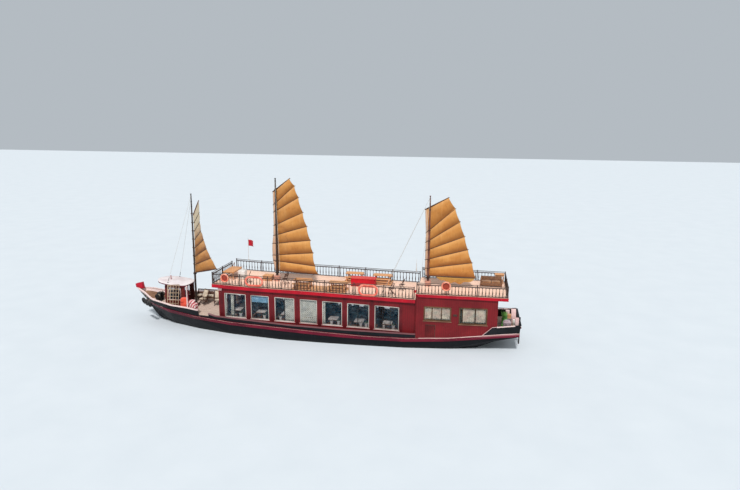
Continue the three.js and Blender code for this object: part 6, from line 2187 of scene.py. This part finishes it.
@dataclass(frozen=True)
class DeckFurniture:
    """Tables, benches, chairs and the tank on the saloon's roof, and the stern deck's furniture.

    A low and a high are the corners of a piece's plan.
    """

    sets: tuple[TableSet, ...] = (
        TableSet("port", 0.7, 1.43, 1.3), TableSet("port", -1.95, 1.43, 1.3),
        TableSet("starboard", -2.6, -1.5, 1.35), TableSet("starboard", -4.78, -1.5, 1.4))
    fore_table: Table = Table("fore_table", (6.32, -0.9), (7.2, 0.9), LINES.roof_z,
                              0.62, 0.6, 7, False)
    corner_table: Table = Table("corner_table", (-13.9, -2.06), (-13.2, -1.5),
                                sloped(LINES.stern_z), 0.72, 0.68, 5)
    duckboard_half: float = 0.7
    chest_low: Pair = (-4.45, -0.53)
    chest_high: Pair = (-2.63, 0.11)
    chest_height: float = 0.6
    bench_low: Pair = (3.53, -0.29)
    bench_high: Pair = (4.19, 0.32)
    lid_overhang: float = 0.03
    tank: Pair = (5.84, 0.28)
    tank_half: float = 0.27
    tank_height: float = 0.7
    sofa_low: Pair = (-13.72, -1.12)
    sofa_high: Pair = (-12.15, -0.48)
    chairs: tuple[tuple[float, float, float], ...] = (
        (5.0, 1.2, 0.3), (2.2, 0.9, -0.4), (-5.9, 1.5, 0.5), (-6.5, 0.2, -0.2))

    def build(self) -> None:
        """Makes all of it."""
        for side in ("port", "starboard"):
            self._table_sets(side)
        self.fore_table.build()
        self._chest()
        self.corner_table.build()
        self._mast_bench()
        self._tank()
        self._sofa()
        self._chairs()

    def _table_sets(self, side: str) -> None:
        """Makes the tables with benches of one side, on their duckboards."""
        sets = [item for item in self.sets if item.side == side]
        tables, boards = Shape(), Shape()
        for item in sets:
            item.add(tables)
        y, wide = sets[0].y, self.duckboard_half
        x0 = min(item.x - item.length / 2 for item in sets) - 0.06
        x1 = max(item.x + item.length / 2 for item in sets) + 0.06
        z0, z1 = roof_at(x0) + 0.021, roof_at(x1) + 0.021
        for k in range(10):
            here = y - wide + k * 0.1416 + 0.063
            boards.beam((x0, here, z0), (x1, here, z1), 0.12, 0.026)
        for k in range(5):
            x = x0 + 0.1 + (x1 - x0 - 0.2) * k / 4
            z = roof_at(x) + 0.006
            boards.beam((x, y - wide, z), (x, y + wide, z), 0.06, 0.01)
        tables.piece(f"{side}_deck_tables", TABLE_WOOD, replaces=(f"deck_tables_{side}",))
        boards.piece(f"{side}_duckboards", TAN_WOOD)

    def _chest(self) -> None:
        """Makes the closed red table: a panelled chest under a boarded top."""
        chest, top = Shape(), Shape()
        (x0, y0), (x1, y1), over = self.chest_low, self.chest_high, self.lid_overhang
        floor = roof_at((x0 + x1) / 2)
        high = floor + self.chest_height
        foot0, foot1 = roof_at(x0) + 0.0015, roof_at(x1) + 0.0015
        chest.outline([(x0, y0, foot0), (x1, y0, foot1), (x1, y0, high), (x0, y0, high)],
                      (0.0, y1 - y0, 0.0), 0.008)
        for y in (y0, y1):
            for lift in (0.06, 0.56):
                chest.beam((x0, y, floor + lift), (x1, y, floor + lift), 0.02, 0.07)
            for k in range(5):
                x = x0 + 0.035 + (x1 - x0 - 0.07) * k / 4
                chest.beam((x, y, floor + 0.04), (x, y, high), 0.02, 0.06, AHEAD)
        plank_top(top, (x0 - over, y0 - over, high), (x1 + over, y1 + over, high + 0.06), 6)
        chest.piece("red_chest", BRIGHT_RED, replaces=("red_table",))
        # The top's paler red is a painted highlight.
        top.piece("red_chest_top", RED_TOP_HIGHLIT)

    def _mast_bench(self) -> None:
        """Makes the beige locker bench by the main mast."""
        box, lid = Shape(), Shape()
        (x0, y0), (x1, y1), over = self.bench_low, self.bench_high, self.lid_overhang
        z = roof_at((x0 + x1) / 2)
        box.block((x0, y0, z + 0.02), (x1, y1, z + 0.36), 0.01)
        for x in (x0 - 0.01, x1 - 0.04):
            for y in (y0 - 0.01, y1 - 0.04):
                box.block((x, y, roof_at(x + 0.02) + 0.001), (x + 0.05, y + 0.05, z + 0.37), 0.006)
        plank_top(lid, (x0 - over, y0 - over, z + 0.37), (x1 + over, y1 + over, z + 0.41), 5)
        box.piece("mast_bench_box", TAN_WOOD, replaces=("mast_bench",))
        lid.piece("mast_bench_lid", TABLE_WOOD)

    def _tank(self) -> None:
        """Makes the ribbed white tank with its screw lid."""
        tank = Shape()
        (x, y), half, high = self.tank, self.tank_half, self.tank_height
        rib, z = half + 0.008, roof_at(x) + 0.012
        lid = ((0.0, 0.0), (0.11, 0.0), (0.11, 0.035), (0.1, 0.045), (0.1, 0.085), (0.085, 0.095),
               (0.0, 0.1))
        tank.block((x - half, y - half, z), (x + half, y + half, z + high), 0.06)
        for lift in (0.14, 0.28, 0.42, 0.56):
            tank.block((x - rib, y - rib, z + lift), (x + rib, y + rib, z + lift + 0.035), 0.014)
        tank.turned(lid, (x, y, z + high - 0.01), steps=24)
        tank.piece("ribbed_tank", TANK, replaces=("water_tank",))

    def _sofa(self) -> None:
        """Makes the wicker sofa with its cushions."""
        wicker = Shape()
        (x0, y0), (x1, y1), z = self.sofa_low, self.sofa_high, LINES.stern_z + 0.001
        wicker.block((x0 + 0.03, y0 + 0.03, z + 0.1), (x1 - 0.03, y1 - 0.02, z + 0.33), 0.03)
        wicker.block((x0 + 0.03, y0, z + 0.1), (x1 - 0.03, y0 + 0.09, z + 0.7), 0.035)
        for x in (x0, x1 - 0.1):
            wicker.block((x, y0 + 0.01, z + 0.1), (x + 0.1, y1, z + 0.56), 0.04)
        for x in (x0 + 0.05, (x0 + x1) / 2, x1 - 0.05):
            for y in (y0 + 0.05, y1 - 0.05):
                wicker.bar((x, y, z), (x, y, z + 0.14), 0.026)
        wicker.piece("wicker_frame", WICKER, replaces=("wicker_sofa",))
        seat = (x1 - x0 - 0.22) / 2
        for i in range(2):
            x = x0 + 0.11 + i * seat
            cushion(f"sofa_cushion_{i}", (x, y0 + 0.1, z + 0.31), (x + seat, y1 - 0.03, z + 0.43),
                    TAN_CLOTH)

    def _chairs(self) -> None:
        """Makes the folding chairs that stand between the tables."""
        chairs, half = Shape(), 0.2
        for x, y, turn in self.chairs:
            move = standing(x, y, roof_at(x) + 0.0126, turn)
            for side in (-half, half):
                for a, b in (((-0.2, side, 0.0), (0.16, side, 0.45)),
                             ((0.2, side, 0.0), (-0.17, side, 0.86))):
                    chairs.beam(move @ Vector(a), move @ Vector(b), 0.024, 0.034, AHEAD)
            for k in range(5):
                u, h = -0.15 + 0.075 * k, 0.44
                chairs.beam(move @ Vector((u, -half, h)), move @ Vector((u, half, h)), 0.055, 0.014)
            for k in range(3):
                h = 0.62 + 0.09 * k
                u = 0.2 - 0.37 * h / 0.86
                chairs.beam(move @ Vector((u, -half, h)), move @ Vector((u, half, h)), 0.014, 0.06)
        chairs.piece("folding_chairs", DARK_WOOD)


@dataclass(frozen=True)
class Bundle:
    """Stowed bundle: place, half length, heights over the deck, turn and cloth."""

    name: str
    x: float
    y: float
    half: float
    low: float
    high: float
    turn: float
    finish: Finish

    def build(self) -> None:
        """Makes the bundle."""
        move = standing(self.x, self.y, deck_at(self.x + self.half) + 0.01, self.turn)
        cushion(self.name, (-self.half, -0.24, self.low), (self.half, 0.24, self.high), self.finish,
                move)


@dataclass(frozen=True)
class Foredeck:
    """Bench, windlass, tyres, anchor, bundles, pole, deck chairs and boarding rack near the bow."""

    bench_low: Pair = (8.95, -1.74)
    bench_high: Pair = (10.6, -1.14)
    windlass_x: float = 13.05
    axle_z: float = 0.43
    cheeks: Pair = (-0.23, 0.17)
    drum: Pairs = (
        (0.0, -0.43), (0.19, -0.43), (0.2, -0.42), (0.2, -0.385), (0.15, -0.36), (0.118, -0.3),
        (0.13, -0.24), (0.06, -0.235), (0.06, -0.17), (0.165, -0.165), (0.17, -0.12), (0.1, -0.1),
        (0.1, 0.1), (0.17, 0.12), (0.165, 0.165), (0.06, 0.17), (0.06, 0.235), (0.13, 0.24),
        (0.118, 0.3), (0.15, 0.36), (0.2, 0.385), (0.2, 0.42), (0.19, 0.43), (0.0, 0.43))
    teeth: int = 16
    tyres: Pairs = ((13.22, 0.5), (13.62, 0.62), (13.98, 0.72))
    anchor: Pair = (13.2, 0.62)
    bundles: tuple[Bundle, ...] = (
        Bundle("life_vests_low", 10.02, 1.72, 0.3, 0.0, 0.42, 0.1, CORAL_CLOTH),
        Bundle("life_vests_mid", 10.0, 1.73, 0.29, 0.38, 0.84, -0.15, CORAL_CLOTH),
        Bundle("life_vests_top", 10.03, 1.74, 0.26, 0.8, 1.12, 0.2, CORAL_CLOTH),
        Bundle("striped_bundle_low", 9.29, 1.85, 0.38, 0.0, 0.5, 0.06, STRIPED_CLOTH),
        Bundle("striped_bundle_mid", 9.26, 1.86, 0.34, 0.46, 0.86, -0.12, STRIPED_CLOTH),
        Bundle("striped_bundle_top", 9.34, 1.86, 0.24, 0.82, 1.06, 0.3, STRIPED_CLOTH))
    pole: Pair = (9.52, 2.27)
    chairs: tuple[tuple[float, float, float], ...] = ((9.55, -0.5, 1.2), (8.45, -0.75, 1.9))
    rack_feet: Pairs = ((10.83, 1.29), (11.68, 1.4))
    rack_heads: Pairs = ((10.76, 1.053), (11.54, 1.365))
    rack_top: float = 3.268

    def build(self) -> None:
        """Makes all of it."""
        self._bench()
        self._windlass()
        self._brake_and_rope()
        self._tyres()
        self._anchor()
        for bundle in self.bundles:
            bundle.build()
        self._pole()
        for i, chair in enumerate(self.chairs):
            self._chair(i, *chair)
        self._rack()

    def _bench(self) -> None:
        """Makes the slatted bench and its cream cushions."""
        (x0, y0), (x1, y1) = self.bench_low, self.bench_high
        z, back = deck_at((x0 + x1) / 2), y0 + 0.03
        bench = Shape()
        for x in (x0 + 0.03, (x0 + x1) / 2, x1 - 0.03):
            foot = deck_at(min(x + 0.03, x1)) + 0.002
            bench.block((x - 0.03, y1 - 0.06, foot), (x + 0.03, y1, z + 0.6), 0.008)
            bench.beam((x, y0 + 0.05, foot), (x, y0 + 0.02, z + 0.88), 0.06, 0.06, AHEAD)
            bench.beam((x, back, z + 0.6), (x, y1, z + 0.6), 0.07, 0.035)
        for k in range(6):
            y = y0 + 0.09 + k * 0.088
            bench.beam((x0, y, z + 0.4), (x1, y, z + 0.4), 0.07, 0.025)
        for lift in (0.5, 0.86):
            bench.beam((x0, back, z + lift), (x1, back, z + lift), 0.03, 0.07)
        for k in range(17):
            x = x0 + 0.08 + k * (x1 - x0 - 0.16) / 16
            bench.beam((x, back, z + 0.5), (x, back, z + 0.85), 0.02, 0.05, AHEAD)
        bench.piece("slatted_bench", DARK_WOOD, replaces=("foredeck_bench",))
        for i in range(3):
            x = x0 + 0.06 + i * 0.515
            cushion(f"bench_cushion_{i}", (x, y0 + 0.08, z + 0.41), (x + 0.5, y1 - 0.02, z + 0.52),
                    CREAM_CLOTH)

    def _axle(self) -> Vector:
        """Middle of the windlass's axle."""
        return Vector((self.windlass_x, 0.0, deck_at(self.windlass_x) + self.axle_z))

    def _windlass(self) -> None:
        """Makes the windlass: cheeks, drums with rims, and gears."""
        axle = self._axle()
        x, _, z = axle
        deck = deck_at(x + 0.23) + 0.002
        iron = Shape()
        for y in self.cheeks:
            iron.outline([(x - 0.23, y, deck), (x + 0.23, y, deck), (x + 0.2, y, z + 0.1),
                          (x + 0.1, y, z + 0.24), (x - 0.1, y, z + 0.24), (x - 0.2, y, z + 0.1)],
                         (0.0, 0.06, 0.0), 0.008)
        iron.block((x - 0.23, -0.23, deck), (x + 0.23, 0.23, deck + 0.05), 0.01)
        iron.block((x - 0.16, -0.2, z + 0.15), (x + 0.16, 0.2, z + 0.25), 0.03)
        iron.turned(self.drum, axle, PORT, 28)
        for k in range(self.teeth):
            angle = 2 * math.pi * k / self.teeth
            out = Vector((math.cos(angle), 0.0, math.sin(angle)))
            for y in (-0.145, 0.145):
                hub = axle + PORT * y
                iron.beam(hub + out * 0.15, hub + out * 0.19, 0.03, 0.03, PORT, 0.003)
        iron.piece("bow_windlass", IRON, replaces=("windlass",))

    def _brake_and_rope(self) -> None:
        """Makes the windlass's brake lever and the turns of rope on its drums."""
        x, _, z = self._axle()
        gear = Shape()
        gear.bar((x - 0.1, 0.1, z + 0.22), (x - 0.32, 0.12, z + 0.42), 0.013)
        gear.turned([(0.0, 0.0), (0.022, 0.01), (0.024, 0.05), (0.0, 0.07)],
                    (x - 0.32, 0.12, z + 0.4))
        for y in (-0.3, 0.3):
            for k in range(4):
                gear.torus((x, y - 0.05 + 0.034 * k, z), PORT, 0.142, 0.015, 24, 8)
        gear.piece("windlass_rope_turns", ROPE)

    def _tyres(self) -> None:
        """Makes the tyres hung outside the bow, with their lashings."""
        tyres, ropes = Shape(), Shape()
        cap_y, cap_z = LINES.cap_y.at, LINES.cap_z.at
        for x, drop in self.tyres:
            slope = (cap_y(x + 0.1) - cap_y(x - 0.1)) / 0.2
            out = Vector((-slope, 1.0, -0.35)).normalized()
            for side in (1, -1):
                place = Vector((x, cap_y(x) + 0.04 - 0.18 * drop, cap_z(x) - drop)) + out * 0.1
                place.y *= side
                tyres.torus(place, Vector((out.x, out.y * side, out.z)), 0.19, 0.085, 28, 12, 1.1)
                knot = (x, side * (cap_y(x) + 0.03), cap_z(x) - 0.02)
                ropes.bar(place + UP * 0.17, knot, 0.012, sides=8)
        tyres.piece("tyre_fenders", RUBBER)
        ropes.piece("tyre_lashings", ROPE)

    def _anchor(self) -> None:
        """Makes the stocked anchor that lies on the foredeck."""
        anchor = Shape()
        x, y = self.anchor
        place = Vector((x, y, deck_at(x + 0.1) + 0.03))
        anchor.bar(place + Vector((-0.55, 0.0, 0.02)), place + Vector((0.45, -0.3, 0.06)), 0.025)
        anchor.bar(place + Vector((-0.48, -0.24, 0.03)), place + Vector((-0.5, 0.26, 0.03)), 0.02)
        for side in (-1, 1):
            tip = place + Vector((0.2, -0.22 + side * 0.28, 0.03))
            anchor.bar(place + Vector((0.45, -0.3, 0.05)), tip, 0.028, 0.016)
            anchor.bar(tip, tip + Vector((-0.07, side * 0.05, 0.08)), 0.045, 0.008, 6)
        anchor.piece("anchor", IRON)

    def _pole(self) -> None:
        """Makes the gangway pole on the bulwark's cap."""
        x, y = self.pole
        profile = ((0.0, 0.0), (0.09, 0.0), (0.09, 0.02), (0.05, 0.04), (0.045, 1.55), (0.06, 1.57),
                   (0.06, 1.6), (0.03, 1.66), (0.0, 1.67))
        pole = Shape()
        pole.turned(profile, (x, y, LINES.cap_z.at(x) + 0.001), steps=16)
        pole.piece("gangway_pole", PINK_WHITE)

    @staticmethod
    def _chair(i: int, x: float, y: float, turn: float) -> None:
        """Makes one slatted deck chair with cream pads, turned to the sea."""
        shape, half = Shape(), 0.26
        move = standing(x, y, deck_at(x + 0.35) + 0.006, turn)
        across = move.to_3x3() @ PORT
        for side in (-0.27, 0.27):
            for a, b in (((0.3, side, 0.0), (-0.24, side, 0.52)),
                         ((-0.3, side, 0.0), (0.26, side, 0.42)),
                         ((-0.05, side, 0.3), (-0.42, side, 1.12)),
                         ((-0.22, side, 0.62), (0.3, side, 0.62)),
                         ((0.3, side, 0.3), (0.3, side, 0.62))):
                shape.beam(move @ Vector(a), move @ Vector(b), 0.03, 0.045, across)
        for k in range(6):
            u, h = -0.1 + 0.08 * k, 0.36 + 0.012 * k
            shape.beam(move @ Vector((u, -half, h)), move @ Vector((u, half, h)), 0.06, 0.016)
        for k in range(7):
            s = 0.2 + 0.13 * k
            u, h = -0.05 - 0.37 * s, 0.3 + 0.82 * s
            shape.beam(move @ Vector((u, -half, h)), move @ Vector((u, half, h)), 0.02, 0.07)
        shape.piece(f"deck_chair_{i}", DARK_WOOD)
        cushion(f"deck_chair_pad_{i}", (-0.13, -0.25, 0.4), (0.3, 0.25, 0.5), CREAM_CLOTH,
                turn=move)
        lean = Matrix.Translation((-0.25, 0.0, 0.8)) @ Matrix.Rotation(math.radians(65.7), 4, "Y")
        cushion(f"deck_chair_back_pad_{i}", (-0.3, -0.24, 0.0), (0.3, 0.24, 0.09), CREAM_CLOTH,
                turn=move @ lean)

    def _rack(self) -> None:
        """Makes the lattice of laths that leans from the deck to the wheelhouse roof."""
        feet = [Vector((x, y, deck_at(x + 0.02) + 0.002)) for x, y in self.rack_feet]
        heads = [Vector((x, y, self.rack_top)) for x, y in self.rack_heads]

        def at(u: float, v: float) -> Vector:
            """Place on the rack by shares along and up it."""
            return feet[0].lerp(feet[1], u).lerp(heads[0].lerp(heads[1], u), v)

        laths, edges = Shape(), Shape()
        for k in range(1, 4):
            laths.beam(at(k / 4, 0.05), at(k / 4, 0.985), 0.016, 0.04, AHEAD)
        for k in range(7):
            laths.beam(at(0.0, 0.05 + 0.9 * k / 6), at(1.0, 0.05 + 0.9 * k / 6), 0.02, 0.044)
        for u in (0.0, 1.0):
            edges.beam(at(u, 0.0), at(u, 1.0), 0.036, 0.042, AHEAD)
        edges.beam(at(0.0, 0.992), at(1.0, 0.992), 0.036, 0.036)
        laths.piece("boarding_rack_laths", LATTICE, replaces=("boarding_rack",))
        edges.piece("boarding_rack_edges", LATTICE)


@dataclass(frozen=True)
class SternWell:
    """Gear in the well behind the stern cabin."""

    grating_x: Pair = (-14.85, -13.96)
    bearers: tuple[float, ...] = (-14.75, -14.4, -14.05)
    locker_low: Pair = (-14.5, -0.92)
    locker_high: Pair = (-13.96, 0.4)
    barrel: Pair = (-14.68, 0.5)
    barrel_profile: Pairs = (
        (0.0, 0.0), (0.145, 0.0), (0.155, 0.012), (0.165, 0.12), (0.17, 0.15), (0.165, 0.17),
        (0.165, 0.31), (0.17, 0.33), (0.165, 0.35), (0.155, 0.45), (0.145, 0.465), (0.145, 0.48),
        (0.125, 0.48), (0.12, 0.465), (0.0, 0.465))
    heap_low: Pair = (-14.38, 1.12)
    heap_high: Pair = (-13.8, 1.7)
    tub: Pair = (-13.93, 0.66)
    tub_profile: Pairs = (
        (0.0, 0.0), (0.16, 0.0), (0.19, 0.04), (0.2, 0.36), (0.19, 0.68), (0.2, 0.7), (0.2, 0.74),
        (0.175, 0.74), (0.16, 0.66), (0.0, 0.64))
    leaves: int = 30
    pipe: tuple[Point, ...] = ((-13.42, 1.0, 2.05), (-14.0, 0.99, 2.06), (-14.6, 0.97, 2.08))
    pipe_y: float = 1.85

    def build(self) -> None:
        """Makes the grating, locker, barrel, crates, canvas heap, planted tub and pipe rail."""
        z = deck_at(-14.2)
        self._grating()
        self._locker(z)
        barrel = Shape()
        x, y = self.barrel
        barrel.turned(self.barrel_profile, (x, y, deck_at(x) + 0.04), steps=28)
        barrel.piece("white_barrel", TANK)
        self._crates(z)
        (x0, y0), (x1, y1) = self.heap_low, self.heap_high
        cushion("stern_canvas_heap", (x0, y0, deck_at(x1) + 0.005), (x1, y1, z + 0.82), HEAP_CLOTH)
        self._tub()
        self._pipe_rail()

    def _grating(self) -> None:
        """Makes the grating of boards on three bearers."""
        grating = Shape()
        x0, x1 = self.grating_x
        for k in range(11):
            y = -0.94 + k * 0.165
            grating.beam((x0, y, deck_at(x0) + 0.028), (x1, y, deck_at(x1) + 0.028), 0.12, 0.022)
        for x in self.bearers:
            z = deck_at(x) + 0.009
            grating.beam((x, -0.95, z), (x, 0.74, z), 0.06, 0.014)
        grating.piece("stern_grating", TAN_WOOD, replaces=("stern_locker",))

    def _locker(self, z: float) -> None:
        """Makes the locker with its lid and three catches."""
        locker = Shape()
        (x0, y0), (x1, y1) = self.locker_low, self.locker_high
        locker.block((x0 + 0.03, y0 + 0.03, z + 0.06), (x1 - 0.03, y1 - 0.03, z + 0.52), 0.015)
        locker.block((x0, y0, z + 0.52), (x1, y1, z + 0.57), 0.018)
        for y in (-0.7, -0.2, 0.2):
            locker.block((x1 - 0.03, y - 0.05, z + 0.4), (x1 - 0.015, y + 0.05, z + 0.5), 0.004)
        locker.piece("stern_locker_box", LOCKER)

    @staticmethod
    def _crates(z: float) -> None:
        """Makes the crates on and beside the locker, and the board that leans on it."""
        crate, box = Shape(), Shape()
        crate.block((-14.36, -0.88, z + 0.575), (-14.1, -0.58, z + 0.83), 0.012)
        crate.block((-14.37, -0.89, z + 0.825), (-14.09, -0.57, z + 0.85), 0.008)
        crate.block((-14.87, 1.2, deck_at(-14.6) + 0.005), (-14.63, 1.58, z + 0.95), 0.014)
        crate.block((-14.88, 1.19, z + 0.945), (-14.62, 1.59, z + 0.975), 0.01)
        crate.beam((-14.66, -0.1, deck_at(-14.66) + 0.04), (-14.62, -0.42, z + 1.1), 0.33, 0.03,
                   PORT)
        crate.piece("stern_crates", PINK_WHITE)
        box.block((-14.42, 0.04, z + 0.575), (-14.16, 0.34, z + 0.86), 0.012)
        for k in range(3):
            low = z + 0.6 + 0.09 * k
            box.block((-14.43, 0.03, low), (-14.15, 0.35, low + 0.05), 0.006)
        box.piece("stern_tan_crate", TAN_WOOD)

    def _tub(self) -> None:
        """Makes the green tub and the plant in it."""
        tub, plant = Shape(), Shape()
        x, y = self.tub
        z = deck_at(x + 0.2)
        tub.turned(self.tub_profile, (x, y, z + 0.005), steps=24)
        tub.piece("green_tub", GREEN)
        for k in range(self.leaves):
            out = Vector((math.cos(k * LEAF_TURN), math.sin(k * LEAF_TURN), 0.0))
            root = Vector((x, y, z + 0.64)) + out * 0.06
            tip = root + out * 0.2 + UP * (0.46 + 0.2 * math.sin(k * 1.3))
            middle, side = root.lerp(tip, 0.6), out.cross(UP) * 0.035
            plant.outline([root, middle + side, tip, middle - side], out * 0.004)
        plant.piece("tub_plant", LEAF)

    def _pipe_rail(self) -> None:
        """Makes the pipe rail of each side, with its stanchions."""
        rail = Shape()
        for side in (self.pipe_y, -self.pipe_y):
            points = [Vector((x, side * share, z)) for x, share, z in self.pipe]
            for a, b in zip(points, points[1:]):
                rail.bar(a, b, 0.022)
            for p in points[1:]:
                rail.bar((p.x, p.y, deck_at(p.x) + 0.002), p, 0.02)
        rail.piece("stern_pipe_rail", IRON)


def main() -> None:
    """Builds every part in order."""
    logging.basicConfig(level=logging.INFO, format="%(message)s")
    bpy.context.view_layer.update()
    Studio().build()
    Carried().build()
    for mast in (FORE_MAST, MAIN_MAST, MIZZEN_MAST):
        mast.build()
    for sail in (FORE_SAIL, MAIN_SAIL, MIZZEN_SAIL):
        sail.build()
    cabins = (SALOON_WINDOWS, STERN_WINDOWS, Wheelhouse(), CabinTrim())
    for part in (*RAILINGS, *FLOATS, Rigging(), *cabins, DeckFurniture(), Foredeck(), SternWell()):
        part.build()


if __name__ == "__main__":
    main()
